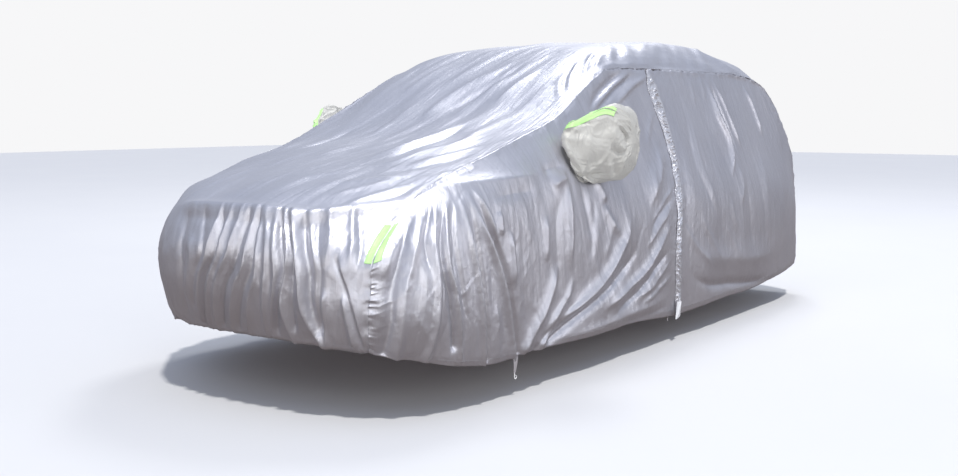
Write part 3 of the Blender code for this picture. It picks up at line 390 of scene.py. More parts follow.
# the far front corner sits closer in: the right side's own first lines
RIGHT_FRONT_LINES = (
    ("fender_front", 5.35, (735, -1735, 735), (755, -1745, 585), (760, -1720, 400), (725, -1660, 245)),
    ("fender_fan", 5.75, (800, -1610, 770), (840, -1620, 595), (850, -1600, 395), (830, -1570, 205)),
)
LEVELS = (0.0, 0.30, 0.56, 0.80, 1.0)
SIDE_LAST = len(SIDE_LINES) + 1
ZIP_LINE = 8
ZIP_HALF = 0.050           # half the ribbon, in steps between upright lines
print(len(STATIONS), "stations and", len(SIDE_LINES), "upright lines a side")

# %% Smooth curves through table rows


def smooth(knots, values, place, pick=None):
    """Cubic curve through rows of values, read at place; pick names one column for each."""
    knots, values = np.asarray(knots, float), np.asarray(values, float)
    step = np.diff(knots).reshape(-1, *[1] * (values.ndim - 1))
    slope = np.diff(values, axis=0) / step
    inner = (slope[:-1] * step[1:] + slope[1:] * step[:-1]) / (step[1:] + step[:-1])
    tangent = np.concatenate([slope[:1], inner, slope[-1:]])
    place = np.clip(np.asarray(place, float), knots[0], knots[-1])
    cell = np.clip(np.searchsorted(knots, place, side="right") - 1, 0, len(knots) - 2)
    width = np.diff(knots)[cell][..., None]
    x = (place - knots[cell])[..., None] / width
    at, after = (cell, cell + 1) if pick is None else ((cell, pick), (cell + 1, pick))
    return (values[at] * (1 + 2 * x) * (1 - x) ** 2 + tangent[at] * width * x * (1 - x) ** 2
            + values[after] * x * x * (3 - 2 * x) - tangent[after] * width * x * x * (1 - x))


def ease(x):
    """Soft step from 0 to 1."""
    x = np.clip(x, 0.0, 1.0)
    return x * x * (3 - 2 * x)


def arc(points, axis=0):
    """Distance walked along one axis of a line or a grid of points."""
    step = np.linalg.norm(np.diff(points, axis=axis), axis=-1)
    pad = [(0, 0)] * step.ndim
    pad[axis] = (1, 0)
    return np.cumsum(np.pad(step, pad), axis=axis)


STATION_SIZES = np.array([row[1:] for row in STATIONS]) / ([1000.0] * 8 + [1.0, 1.0])
STATION_PLACES = np.arange(len(STATIONS))
LINE_PLACES = np.arange(SIDE_LAST + 1)
SEAM_STARTS = np.array([CORNER] + [row[1] for row in SIDE_LINES] + [REAR], float)[:, None]

# %% The two kinds of surface


def seam(station, hand):
    """Point of the seam between the top panel and a side panel; hand is 1 left, -1 right."""
    first = 0 if hand > 0 else 3
    return smooth(STATION_PLACES, STATION_SIZES[:, first:first + 3], station)


def top_surface(station, across):
    """Top panel before its pleats; across runs from -1 (right seam) to 1 (left seam)."""
    size = smooth(STATION_PLACES, STATION_SIZES, station)
    edge = np.where((across > 0)[..., None], size[..., 0:3], size[..., 3:6])
    middle = np.stack([0 * across, size[..., 6], size[..., 7]], -1)
    power = np.stack([1 + 0 * across, size[..., 8], size[..., 9]], -1)
    return middle + (edge - middle) * np.abs(across)[..., None] ** power


def end_seams(level):
    """Each end line of a side panel, and the stations that its seam has at these levels."""
    return (0, CORNER * (1 - level)), (SIDE_LAST, REAR + (LAST - REAR) * level)


def side_table(hand):
    """Points of every upright line at every level."""
    first, last = (seam(stations, hand) for _, stations in end_seams(np.array(LEVELS)))
    lines = [first]
    for _, station, *below in SIDE_LINES if hand > 0 else RIGHT_FRONT_LINES + SIDE_LINES[2:]:
        start = seam(np.array([station]), hand)
        rest = np.array(below) / 1000 * (hand, 1, 1)
        rest[0, 2] += 0.5 * (start[0, 2] - seam(np.array([station]), 1)[0, 2])
        lines.append(np.vstack([start, rest]))
    return np.array(lines + [last])


SIDE_TABLES = {hand: side_table(hand) for hand in (1, -1)}


def side_surface(line, level, hand):
    """Side panel before its pleats; level runs from 0 (seam) to 1 (hem)."""
    shape = line.shape
    line, level = line.ravel(), level.ravel()
    table = SIDE_TABLES[hand]
    rows = np.stack([smooth(LINE_PLACES, table[:, k], line) for k in range(len(LEVELS))])
    rows[0] = seam(smooth(LINE_PLACES, SEAM_STARTS, line)[:, 0], hand)
    point = smooth(LEVELS, rows, level, pick=np.arange(len(level)))
    for edge, stations in end_seams(level):
        near = ease(1 - np.abs(line - edge))[:, None]
        point += near * (seam(stations, hand) - smooth(LEVELS, table[edge], level))
    return point.reshape(shape + (3,))


def facing_out(along, over, offset):
    """Unit normals of a grid from its two ways, on the side that the offsets point to."""
    normal = np.cross(along, over)
    normal /= np.maximum(np.linalg.norm(normal, axis=-1, keepdims=True), 1e-12)
    return -normal if np.sum(normal * offset) < 0 else normal


def grid_normals(points, outside=INSIDE):
    """Unit normals of an open grid, away from a place behind it."""
    return facing_out(np.gradient(points, axis=0), np.gradient(points, axis=1), points - outside)


def ring_normals(rings):
    """Unit normals of rings that close on themselves, outward."""
    over = np.roll(rings, -1, axis=1) - np.roll(rings, 1, axis=1)
    return facing_out(np.gradient(rings, axis=0), over, rings - rings.mean((0, 1)))


def between(points, row, column):
    """Points and outward directions of a sheet at places between its rows and columns."""
    i = np.clip(row.astype(int), 0, points.shape[0] - 2)
    j = np.clip(column.astype(int), 0, points.shape[1] - 2)
    x, y = (row - i)[..., None], (column - j)[..., None]
    found = []
    for table in (points, grid_normals(points)):
        low = table[i, j] * (1 - y) + table[i, j + 1] * y
        high = table[i + 1, j] * (1 - y) + table[i + 1, j + 1] * y
        found.append(low * (1 - x) + high * x)
    return found


# %% [markdown]
# ## Pleats, one row each
# Each row below is one ridge or hollow of the cloth: its depth, its half width, and the
# places its crest passes. Many of the crests on the front, the near side and the top began
# as points picked in the photograph. A separate program cast those onto the smooth shape and gave
# their places in whole centimetres; part of them was moved by hand since. The far side and the
# rear were made up. Real pleats have a fairly sharp crest and soft flanks, so their cut is part
# bell, part tent. A long pull dies away where it meets a seam.

# %% Pleats of the front face, places as x and height in cm
# name, depth mm (minus is a hollow), half width mm, 1 if it runs out over the hem, crest's places
FRONT_FOLDS = (
    ("far_turn", 11, 33, 1, (-36, 66), (-34, 51), (-37, 33)),
    ("far_hollow", -14, 29, 1, (-23, 82), (-22, 55), (-26, 36)),
    ("far_swell", 10, 26, 1, (-16, 71), (-14, 60), (-20, 45)),
    ("far_gutter", -12, 19, 1, (-12, 84), (-7, 65), (-12, 55), (-17, 40)),
    ("slant_a", 17, 13, 1, (0, 85), (-3, 63), (-8, 53), (-13, 34)),
    ("slant_a_dip", -17, 11, 1, (0, 85), (2, 65), (-5, 54), (-12, 34)),
    ("slant_b", 17, 13, 1, (6, 87), (4, 66), (-1, 54), (-10, 32)),
    ("slant_c", 17, 13, 1, (12, 87), (10, 66), (3, 53), (-5, 31)),
    ("slant_c_dip", -17, 11, 1, (16, 87), (14, 64), (7, 51), (-1, 33)),
    ("slant_d", 17, 12, 1, (19, 86), (19, 63), (13, 51), (4, 31)),
    ("slant_d_dip", -14, 11, 1, (21, 87), (22, 62), (17, 50), (8, 33)),
    ("slant_e", 14, 12, 1, (22, 86), (25, 60), (20, 47), (14, 32)),
    ("middle_pleat", 14, 15, 1, (22, 86), (29, 69), (29, 55), (24, 33)),
    ("middle_low", 11, 13, 1, (29, 82), (34, 61), (32, 47), (27, 32)),
    ("tuck", -22, 14, 1, (28, 88), (36.5, 65), (35.5, 53), (29, 34)),
    ("narrow_pleat", 18, 12, 1, (29, 87), (38.5, 69), (39, 60), (36, 46), (37, 30)),
    ("narrow_dip", -17, 11, 1, (31, 86), (41, 67), (41.5, 56), (39, 36)),
    ("white_pleat", 29, 19, 1, (32, 88), (42, 69), (45, 57), (46, 43), (51, 30)),
    ("white_dip", -23, 18, 1, (39, 85), (48, 63), (48.5, 50), (50, 36)),
    ("short_pleat", 11, 14, 0, (39, 87), (47, 72), (51, 64), (52, 57)),
    ("beside_pleat", -12, 15, 1, (44, 85), (52.5, 64), (53, 53), (52, 38)),
    ("near_pleat", 13, 15, 0, (46, 86), (54, 72), (56, 62)),
    ("low_pleat", 14, 14, 1, (55, 53), (54, 44), (53, 31)),
    ("near_dip", -14, 13, 1, (57, 68), (62, 56), (65, 46), (67, 33)),
    ("knee_pleat", 14, 12, 1, (59, 67), (62, 58), (66, 46), (68, 33)),
    ("knee_low", 12, 12, 1, (62, 52), (63, 44), (64, 31)),
    ("strip_pull", 9, 12, 0, (54, 85), (62, 70), (64, 61)),
    ("strip_dip", -10, 12, 0, (56, 84), (65, 69), (67, 60)),
)

# %% Pleats of the near side, places as y and height in cm
NEAR_FOLDS = (
    ("corner_face", 9, 22, 0, (-179, 77), (-188, 67), (-194, 56)),
    ("corner_dip", -19, 16, 1, (-171, 85), (-184, 70), (-192, 50), (-193, 28)),
    ("fan_a", 21, 21, 1, (-169, 85), (-177, 74), (-184, 62), (-189, 46), (-189, 24)),
    ("fan_a_dip", -16, 14, 0, (-166, 87), (-176, 73), (-178, 65), (-179, 55)),
    ("fan_b", 14, 14, 1, (-165, 87), (-172, 74), (-175, 62), (-179, 24)),
    ("fan_b_dip", -22, 14, 1, (-162, 88), (-171, 70), (-172, 58), (-170, 48), (-167, 28)),
    ("fan_c", 16, 14, 1, (-160, 88), (-167, 76), (-170, 62), (-168, 50), (-163, 22)),
    ("fan_c_dip", -14, 13, 0, (-158, 88), (-165, 72), (-164, 52), (-161, 34)),
    ("fan_d", 22, 16, 1, (-156, 87), (-156.5, 70), (-154, 52), (-151, 32), (-149, 18)),
    ("fan_d_dip", -17, 14, 1, (-153, 88), (-152, 70), (-150, 49), (-147, 20)),
    ("fan_e", 22, 20, 1, (-151, 89), (-148, 76), (-145, 69), (-140, 57), (-134, 38), (-129, 18)),
    ("fan_e_dip", -21, 15, 1, (-149, 88), (-143, 72), (-137, 60), (-130, 39), (-125, 19)),
    ("fan_f", 13, 14, 0, (-148, 90), (-143, 79), (-139, 66)),
    ("fan_g", 10, 16, 0, (-136, 80), (-136, 69)),
    ("fan_h", 13, 18, 0, (-130, 72), (-129, 46)),
    ("wheel_line", 6, 19, 1, (-144, 44), (-141, 34), (-139, 18)),
    ("wheel_line_b", 5, 18, 1, (-158, 42), (-156, 32), (-155, 19)),
    ("panel_streak", 12, 20, 0, (-102, 76), (-103, 65), (-104, 54)),
    ("panel_dip", -8, 35, 0, (-83, 89), (-93, 75), (-95, 60), (-94, 38)),
    ("pocket_pull", 14, 18, 0, (-81, 90), (-83, 81), (-84, 70), (-85, 58), (-85, 48)),
    ("fender_edge", 9, 26, 0, (-172, 86), (-161, 89), (-151, 90.5), (-135, 91.5), (-116, 92.5), (-95, 93)),
    ("edge_under", -7, 30, 0, (-140, 85), (-125, 86), (-105, 87)),
    ("bunch_left", 13, 27, 0, (-95, 87), (-88, 89.5), (-80, 91)),
    ("bunch_under", -9, 24, 0, (-99, 94), (-88, 95.5), (-80, 95)),
    ("bunch_right", 13, 22, 0, (-58, 89), (-53, 84), (-50, 77)),
    ("bunch_fall", 10, 20, 0, (-53, 78), (-48, 69), (-40, 61)),
    ("bunch_dip", -12, 22, 0, (-70, 88), (-68, 74), (-66, 60)),
    ("pocket_dip", -7, 27, 0, (-60, 82), (-65, 66), (-70, 50)),
    ("pocket_low", 6, 24, 0, (-44, 72), (-51, 60), (-58, 50)),
    ("tongue", 22, 26, 1, (-93, 55), (-99, 46), (-105, 37), (-114, 27), (-120, 19)),
    ("tongue_b", 12, 16, 0, (-83, 47), (-87, 39), (-95, 32), (-104, 25)),
    ("tongue_dip", -18, 20, 1, (-77, 37), (-90, 30), (-105, 23), (-112, 18)),
    ("sweep", 25, 28, 1, (-30, 76), (-31, 69), (-34, 61), (-42, 54), (-55, 44), (-74, 35), (-95, 28),
     (-108, 20)),
    ("sweep_dip", -20, 26, 1, (-22, 60), (-30, 49), (-51, 37), (-78, 28), (-100, 20)),
    ("sweep_b", 22, 22, 0, (16, 66), (10, 60), (-2, 52), (-17, 42), (-37, 34), (-60, 26)),
    ("sweep_b_dip", -15, 20, 0, (15, 52), (-5, 40), (-26, 30), (-50, 23)),
    ("zip_fan_a", 8, 12, 0, (24, 82), (6, 73), (-10, 63)),
    ("zip_fan_a_dip", -8, 12, 0, (22, 77), (3, 68), (-12, 58)),
    ("zip_fan_b", 8, 12, 0, (18, 72), (0, 62), (-16, 52)),
    ("zip_fan_d", 7, 11, 0, (16, 46), (-5, 34), (-25, 28)),
    ("zip_fan_e", 7, 10, 0, (17, 37), (-4, 29), (-20, 25)),
    ("door_swell", 16, 60, 0, (24, 102), (10, 88), (-6, 75)),
    ("hem_swell", 8, 27, 0, (18, 26), (-7, 23.5), (-37, 21.5), (-98, 18)),
    ("hem_line", -5, 16, 0, (18, 20.5), (-6, 19), (-40, 18.5)),
    ("door_streak", 6, 24, 0, (8, 95), (-1, 79), (-9, 72)),
    ("door_dip", -6, 27, 0, (20, 82), (6, 71), (-11, 61)),
    ("door_streak_b", 7, 14, 0, (18, 102), (12, 90), (4, 80)),
    ("glass_dip", -20, 17, 0, (4, 141), (-22, 131), (-42, 120)),
    ("glass_dip_b", -17, 15, 0, (18, 141), (-6, 132.5), (-24, 124.5), (-42, 117)),
    ("glass_rise", 14, 13, 0, (12, 141), (-13, 132), (-32, 123)),
    ("glass_rise_b", 12, 13, 0, (32, 140), (8, 133), (-18, 122)),
    ("glass_rise_c", 5, 16, 0, (26, 122), (14, 110), (6, 100)),
    ("rear_ridge", 23, 15, 0, (102, 140), (103, 128), (104, 117), (109, 104), (107, 92), (100, 82)),
    ("rear_ridge_b", 19, 14, 0, (110, 141), (116, 127), (122, 110), (128, 96)),
    ("rear_dip", -16, 14, 0, (106, 140), (109, 125), (114, 110), (117, 94)),
    ("rear_line", 5, 15, 0, (96, 142), (94, 127)),
    ("rear_line_b", 5, 14, 0, (82, 142), (80, 124)),
    ("rear_ridge_c", 15, 17, 0, (156, 138), (162, 123), (165, 104)),
    ("rear_soft", 8, 26, 0, (113, 90), (114, 79), (105, 66)),
    ("rear_soft_b", 5, 23, 0, (94, 72), (93, 63), (99, 52)),
    ("rear_soft_dip", -6, 40, 0, (64, 124), (57, 94), (62, 78), (72, 58)),
    ("rear_soft_c", 4, 30, 0, (68, 121), (64, 94), (69, 76), (79, 56)),
    ("rear_wide_dip", -5, 46, 0, (121, 86), (120, 60), (125, 38)),
    ("rear_wide", 6, 57, 0, (154, 97), (148, 67), (150, 40)),
    ("wheel_bag", 16, 80, 0, (38, 50), (60, 41), (92, 37), (130, 34), (166, 35)),
    ("wheel_tuck", -16, 26, 0, (36, 40), (44, 31), (64, 25), (92, 22.5), (128, 19), (158, 18.5)),
    ("bag_streak", 6, 22, 0, (31, 62), (44, 48), (64, 35)),
    ("bag_streak_b", 5, 24, 0, (48, 66), (63, 49), (77, 36)),
    ("bag_streak_c", 4, 27, 0, (80, 60), (92, 46), (102, 34)),
)

# %% Pleats of the hood, glass and roof, places as x and y in cm
TOP_FOLDS = (
    ("glass_white", 15, 38, 0, (14, -22), (8, -33), (2, -47), (-2, -62), (0, -82)),
    ("hood_white", 15, 38, 0, (34, -75), (28.5, -88), (28, -105), (28, -123), (24, -149)),
    ("glass_dip", -12, 28, 0, (22, -17), (21, -31), (18, -41), (13, -55), (5, -72)),
    ("glass_side", 11, 22, 0, (25, -36), (19, -54), (15, -78)),
    ("glass_side_b", 9, 20, 0, (38, -30), (34, -46), (32, -64)),
    ("hood_dip", -11, 28, 0, (33, -82), (33.5, -107), (35, -149)),
    ("hood_white_b", 11, 25, 0, (44, -90), (50, -115), (45, -127), (43, -142), (36, -157)),
    ("hood_side", -9, 28, 0, (68, -123), (60, -139), (54, -152), (43, -161)),
    ("hood_side_b", 8, 22, 0, (62, -114), (56, -134), (50, -148)),
    ("stretch_a", 8, 19, 0, (63, -160), (42, -173), (28, -183)),
    ("stretch_b", 8, 16, 0, (58, -166), (51, -176), (41, -189)),
    ("stretch_c", 9, 16, 0, (67, -165), (58, -179), (50, -193)),
    ("stretch_dip", -9, 15, 0, (70, -162), (62, -180), (52, -192)),
    ("stretch_d", 7, 20, 0, (34, -155), (18, -177)),
    ("far_ridge", 9, 28, 0, (-46, -78), (-53, -92), (-57, -107), (-50, -128)),
    ("far_dip", -9, 28, 0, (-36, -88), (-33, -131)),
    ("far_ridge_b", 8, 30, 0, (-18, -58), (-15, -102)),
    ("far_ridge_c", 7, 32, 0, (-8, -110), (-6, -150)),
    ("far_glass", 8, 35, 0, (-30, -20), (-34, -55)),
    ("pillar_a", 8, 14, 0, (53, -1), (57, -17), (64, -33)),
    ("pillar_b", 8, 13, 0, (54, 4), (60, -12), (64, -21)),
    ("pillar_c", 9, 15, 0, (52, -17), (57, -33), (65, -47)),
    ("pillar_d", 8, 14, 0, (52, -35), (63, -53)),
    ("pillar_dip", -10, 13, 0, (50, 26), (57, 12), (64, -3)),
    ("pillar_dip_b", -8, 13, 0, (52, -21), (56, -37), (63, -50)),
    ("gather_a", 10, 29, 0, (40, 32), (50, 16), (58, 4), (68, -10)),
    ("gather_b", 9, 29, 0, (40, 45), (50, 32), (58, 22), (68, 7)),
    ("gather_c", 10, 31, 0, (40, 75), (50, 54), (58, 38), (68, 20)),
    ("gather_d", 9, 29, 0, (40, 91), (50, 68), (58, 50), (68, 32)),
    ("gather_e", 10, 29, 0, (40, 94), (50, 80), (58, 69), (68, 52)),
    ("gather_f", 9, 29, 0, (40, 112), (50, 95), (58, 82), (68, 66)),
    ("gather_g", 10, 31, 0, (40, 119), (50, 107), (58, 98), (68, 84)),
    ("gather_h", 9, 31, 0, (40, 136), (50, 124), (58, 115), (68, 102)),
    ("gather_i", 9, 33, 0, (40, 113), (50, 130), (58, 143), (68, 162)),
)

# %% Pleats of the far side and of the rear, places in cm
FAR_FOLDS = (
    ("fan_a", 14, 24, 1, (-164, 80), (-172, 62), (-174, 26)),
    ("fan_b", 14, 22, 1, (-156, 82), (-160, 60), (-160, 22)),
    ("fan_b_dip", -14, 22, 1, (-150, 82), (-151, 58), (-149, 20)),
    ("fan_c", 15, 24, 1, (-144, 84), (-138, 60), (-130, 20)),
    ("fan_d", 11, 22, 1, (-132, 84), (-126, 60), (-120, 22)),
    ("pocket_pull", 13, 24, 0, (-74, 88), (-78, 68), (-84, 46)),
    ("sweep", 22, 32, 1, (-30, 76), (-34, 56), (-60, 36), (-100, 21)),
    ("sweep_dip", -18, 30, 0, (-14, 64), (-28, 44), (-60, 28)),
    ("sweep_b", 19, 28, 0, (24, 68), (6, 48), (-26, 30)),
    ("glass_dip", -16, 26, 0, (12, 137), (-10, 129), (-36, 120)),
    ("glass_rise", 12, 22, 0, (28, 134), (10, 122), (-4, 110)),
    ("rear_ridge", 17, 28, 0, (96, 138), (102, 108), (97, 76)),
    ("rear_dip", -14, 28, 0, (110, 138), (118, 108), (122, 80)),
    ("rear_ridge_b", 13, 26, 0, (148, 136), (152, 114), (160, 90)),
    ("middle_soft", 10, 34, 0, (50, 136), (46, 102), (52, 62)),
    ("wheel_bag", 22, 64, 0, (48, 44), (95, 34), (152, 33)),
    ("wheel_tuck", -22, 30, 0, (44, 28), (95, 23), (148, 21)),
)
# depth mm, x at the top, x at the hem, in cm
REAR_PLEATS = ((12, 58, 62), (-12, 44, 47), (14, 31, 36), (-14, 19, 22), (12, 6, 8),
               (-12, -8, -8), (14, -21, -24), (-14, -34, -38), (12, -47, -52))
REAR_FOLDS = tuple((f"rear_pleat_{k}", depth, 30, 1, (top, 95), (0.5 * (top + low), 58), (low, 24))
                   for k, (depth, top, low) in enumerate(REAR_PLEATS))
print(len(FRONT_FOLDS + NEAR_FOLDS + TOP_FOLDS + FAR_FOLDS), "pleats in the tables")

# %% The cut of a pleat, and the height of many
UNEVEN = 0.30              # the flank on the lean side is this share wider, the other narrower
FADE_OUT = 0.30            # a pleat that doesn't run out dies over this share of its length
REACH = 5.0                # half widths around a crest within which a pleat is worked out


def pleat_cut(reach, crisp):
    """Height of a pleat's cross cut: a bell where crisp is 0, a tent with a round peak at 1."""
    soft = np.sqrt(reach ** 2 + 0.03) - 0.173
    return (1 - crisp) * np.exp(-reach ** 2) + crisp * np.exp(-1.4 * soft)


def fold_height(folds, u, v, crisp=0.4, lean=(1.0, 0.0), opening=0.30, unit=0.01):
    """Height of all pleats of a table at flat places, summed.

    A pleat reaches its full depth over the opening share of its length; its crest's places
    are in the unit.
    """
    places = np.stack([u.ravel(), v.ravel()], -1)
    total = np.zeros(len(places))
    for _, depth, half, runs_out, *crest in folds:
        crest = np.array(crest) * unit
        path = smooth(np.arange(len(crest)), crest, np.linspace(0, len(crest) - 1, 5 * len(crest)))
        low, high = path.min(0) - REACH * half / 1000, path.max(0) + REACH * half / 1000
        near = np.flatnonzero(np.all((places > low) & (places < high), axis=1))
        if not len(near):
            continue
        run, walked = np.diff(path, axis=0), arc(path)
        length = np.diff(walked)
        offset = places[near, None] - path[None, :-1]
        share = np.clip(np.sum(offset * run, -1) / length ** 2, 0, 1)
        gap = np.linalg.norm(offset - share[..., None] * run, axis=-1)
        pick = (np.arange(len(near)), np.argmin(gap, 1))
        at = (walked[pick[1]] + share[pick] * length[pick[1]]) / walked[-1]
        fade = ease(at / opening) * (1.0 if runs_out else ease((1 - at) / FADE_OUT))
        to_crest = offset[pick] - share[pick][:, None] * run[pick[1]]
        side = (to_crest @ np.asarray(lean)) / np.maximum(gap[pick], 1e-6)
        width = half / 1000 * (1 + UNEVEN * side)
        total[near] += depth / 1000 * fade * pleat_cut(gap[pick] / width, crisp)
    return total.reshape(u.shape)


# %% [markdown]
# ## What no table lists
# Between the big pleats the cloth is never calm: slow swells a hand wide, and short sharp
# creases where it was folded in its bag. Both are made from lattices of random numbers with
# fixed seeds, stretched along the way the cloth is pulled.

# %% Random swells and creases
LATTICE = 64               # random numbers each way, repeated beyond


def drift(u, v, pitch_u, pitch_v, seed):
    """Smooth random height between -1 and 1 over flat places, with two pitches."""
    table = np.random.default_rng(seed).uniform(-1, 1, (LATTICE, LATTICE))
    a, b = np.asarray(u) / pitch_u + 17.0, np.asarray(v) / pitch_v + 23.0
    i, j = np.floor(a).astype(int), np.floor(b).astype(int)
    x, y = ease(a - i), ease(b - j)

    def row(n):
        return table[i % LATTICE, n % LATTICE] * (1 - x) + table[(i + 1) % LATTICE, n % LATTICE] * x

    return row(j) * (1 - y) + row(j + 1) * y


def ridged(u, v, pitch_u, pitch_v, seed):
    """Random folded height between 0 and 1, with sharp crests."""
    return 1 - np.sqrt(np.abs(drift(u, v, pitch_u, pitch_v, seed)) + 0.003)


def puckers(walked, pitch, seed):
    """Random folds across a line, by the distance walked along it."""
    return ridged(walked, 0 * walked, pitch, 1.0, seed)


def waves(table, u, v, first_seed=0):
    """Sum of a table's random swells and folds over flat places."""
    total = 0 * u
    for kind, size, slant_u, slant_v, pitch_u, pitch_v, seed in table:
        plan = (u + slant_u * v, v + slant_v * u, pitch_u / 1000, pitch_v / 1000, first_seed + seed)
        total += size / 1000 * (drift(*plan) if kind == "swell" else ridged(*plan) - 0.5)
    return total


def creases(u, v, count, box, lean, length, half, depth, seed):
    """Short straight creases scattered in a box of flat places; lean is their mean angle."""
    places = np.stack([u.ravel(), v.ravel()], -1)
    random = np.random.default_rng(seed)
    total = np.zeros(len(places))
    (u0, v0), (u1, v1) = box
    for _ in range(count):
        middle = np.array((random.uniform(u0, u1), random.uniform(v0, v1)))
        angle = math.radians(lean + random.normal(0, 24))
        reach = length * random.uniform(0.5, 1.4)
        width = half * random.uniform(0.6, 1.5)
        rise = depth * random.uniform(0.4, 1.0) * random.choice((-1, 1))
        offset = places - middle
        along = offset @ (math.cos(angle), math.sin(angle))
        side = offset @ (-math.sin(angle), math.cos(angle))
        near = (np.abs(along) < reach) & (np.abs(side) < 4 * width)
        ends = (1 - (along[near] / reach) ** 2) ** 2
        total[near] += rise * np.exp(-np.abs(side[near]) / width) * ends
    return total.reshape(u.shape)


def gathers(along, away, pitch, reach, seed):
    """Puckers that stand out of a seam and die away from it."""
    fine = puckers(along + 0.25 * away, pitch, seed) * np.exp(-away / (0.5 * reach))
    coarse = puckers(along - 0.25 * away, pitch * 2.3, seed + 1) * np.exp(-away / reach)
    return 0.6 * fine + 0.6 * coarse - 0.4


SEAM_STATIONS = np.linspace(0, LAST, 3000)
SEAM_LENGTHS = {hand: arc(seam(SEAM_STATIONS, hand)) for hand in (1, -1)}
HEM_TUCK = {1: 0.008, -1: 0.030}      # how far the seam turns in at the front hem


def seam_near(away):
    """How much of a seam's push is left at a distance from it."""
    return np.exp(-(away / 0.020) ** 2)


def seam_push(station, away, hand):
    """Small push of the seam itself, fading into the panels that meet there."""
    walked = np.interp(station, SEAM_STATIONS, SEAM_LENGTHS[hand])
    pinch = 1 + 1.5 * ease((2.9 - station) / 0.3)
    rise = 0.0046 * pinch * (puckers(walked, 0.017, 70 + hand) - 0.6)
    rise += 0.0030 * pinch * drift(walked, 0 * walked, 0.040, 1.0, 74 + hand)
    rise -= HEM_TUCK[hand] * ease(1 - walked / 0.12) ** 1.5
    spot = seam(station, hand)
    way = spot - np.stack([0 * station, np.clip(spot[..., 1], -1.3, 1.6), 0.75 + 0 * station], -1)
    wave = rise[..., None] * way / np.linalg.norm(way, axis=-1, keepdims=True)
    return wave * seam_near(away)[..., None]


print("long seams:", [round(float(length[-1]), 2) for length in SEAM_LENGTHS.values()], "m")

# %% [markdown]
# ## From a grid of places to a sheet of cloth
# Every panel is a grid of points, pushed in and out by its pleats, and then given a back
# and a rim so that it is a real thin sheet. The grid also carries a map in metres along
# and across the cloth, which the thread pattern follows.

# %% Sheet builder


def sheet_object(name, points, material, thickness=CLOTH, keep=None, outside=INSIDE):
    """Thin closed sheet from a grid of outer points; keep masks the cells that stay."""
    rows, columns = points.shape[:2]
    count = rows * columns
    normal = grid_normals(points, outside).reshape(-1, 3)
    number = np.arange(count).reshape(rows, columns)
    quads = np.stack([number[:-1, :-1], number[:-1, 1:], number[1:, 1:], number[1:, :-1]], -1)
    quads = (quads if keep is None else quads[keep]).reshape(-1, 4)
    flat = points.reshape(-1, 3)
    first = flat[quads[0]]
    if np.dot(np.cross(first[1] - first[0], first[3] - first[0]), normal[quads[0, 0]]) < 0:
        quads = quads[:, ::-1]
    start, end = np.concatenate([quads[:, (k, (k + 1) % 4)] for k in range(4)]).T
    on_rim = ~np.isin(start * count + end, end * count + start)
    start, end = start[on_rim], end[on_rim]
    rim = np.stack([end, start, start + count, end + count], -1)
    every = np.concatenate([quads, quads[:, ::-1] + count, rim])
    corners = np.concatenate([flat, flat - thickness * normal])
    used, every_used = np.unique(every, return_inverse=True)
    mesh = bpy.data.meshes.new(name)
    mesh.vertices.add(len(used))
    mesh.vertices.foreach_set("co", placed(corners[used]).astype(np.float32).ravel())
    mesh.loops.add(every.size)
    mesh.loops.foreach_set("vertex_index", every_used.astype(np.int32).ravel())
    mesh.polygons.add(len(every))
    mesh.polygons.foreach_set("loop_start", np.arange(0, every.size, 4, dtype=np.int32))
    mesh.update(calc_edges=True)
    along, across = arc(points[:, columns // 2]), arc(points[rows // 2])
    cut = np.stack(np.meshgrid(along, across, indexing="ij"), -1).reshape(-1, 2)
    layer = mesh.uv_layers.new(name="cut")
    layer.data.foreach_set("uv", np.concatenate([cut, cut])[every].astype(np.float32).ravel())
    mesh.materials.append(material)
    mesh.shade_smooth()
    mesh.validate()
    size = f"{along[-1]:.2f} by {across[-1]:.2f} m of cloth"
    print(name, len(every) * 2, "triangles,", size)
    return add_object(name, mesh)


# %% [markdown]
# ## Top panel
# One length of cloth from the front hem to the rear hem. Its rows are closest together on
# the front face, where most of the pleats are.

# %% Top panel: its grid and the table of its small waves
# part, first and last station, rows
TOP_ROWS = (("front", 0.0, 3.4, 36), ("lip", 3.4, 5.2, 30), ("hood", 5.2, 9.0, 44),
            ("glass", 9.0, 12.0, 34), ("roof", 12.0, REAR - 1.0, 42), ("rear", REAR - 1.0, LAST, 20))
TOP_COLUMNS = 236
TOP_ACROSS = 1 - 2 * np.linspace(1, 0, TOP_COLUMNS) ** 1.25        # closer near the left seam
# kind, size mm, slant of the two places, pitch of the two in mm, seed
FACE_WAVES = (("swell", 2.0, 0.12, 0.0, 34, 300, 11), ("swell", 1.1, -0.20, 0.0, 18, 130, 12),
              ("fold", 1.0, 0.6, -0.5, 50, 85, 21), ("fold", 0.7, -0.8, 0.4, 28, 50, 22))
ROOF_WAVES = (("swell", 8.5, 0.25, 0.0, 160, 600, 13), ("swell", 3.4, -0.15, 0.0, 50, 300, 14),
              ("fold", 0.6, 0.5, -0.3, 60, 110, 23))
REAR_WAVES = (("swell", 5.0, 0.0, 0.0, 50, 450, 15),)
LIP_STATION, CORNER_LIP = 4.0, 0.75      # the front's upper edge, and its delay at the left
BROW, BROW_HALF = 0.0180, 0.030          # the roll along that edge
SET_BACK = 0.0110                        # the face below it
HOOD_PUCKER, SEAM_PUCKER = 0.0085, 0.0070      # beside the hood's seams, and beside the others
HEM_PUCKER = 0.0045        # what the elastic gathers
HEM_ROLL = {1: 0.007, -1: 0.031}      # how far the hem rolls in at the left and the right


def row_places(parts):
    pieces = [np.linspace(first, last, count, endpoint=False) for _, first, last, count in parts]
    return np.concatenate(pieces + [[parts[-1][2]]])


def freedom(edge):
    """How free the cloth is to move, by its distance from a seam."""
    return ease(edge / 0.030)


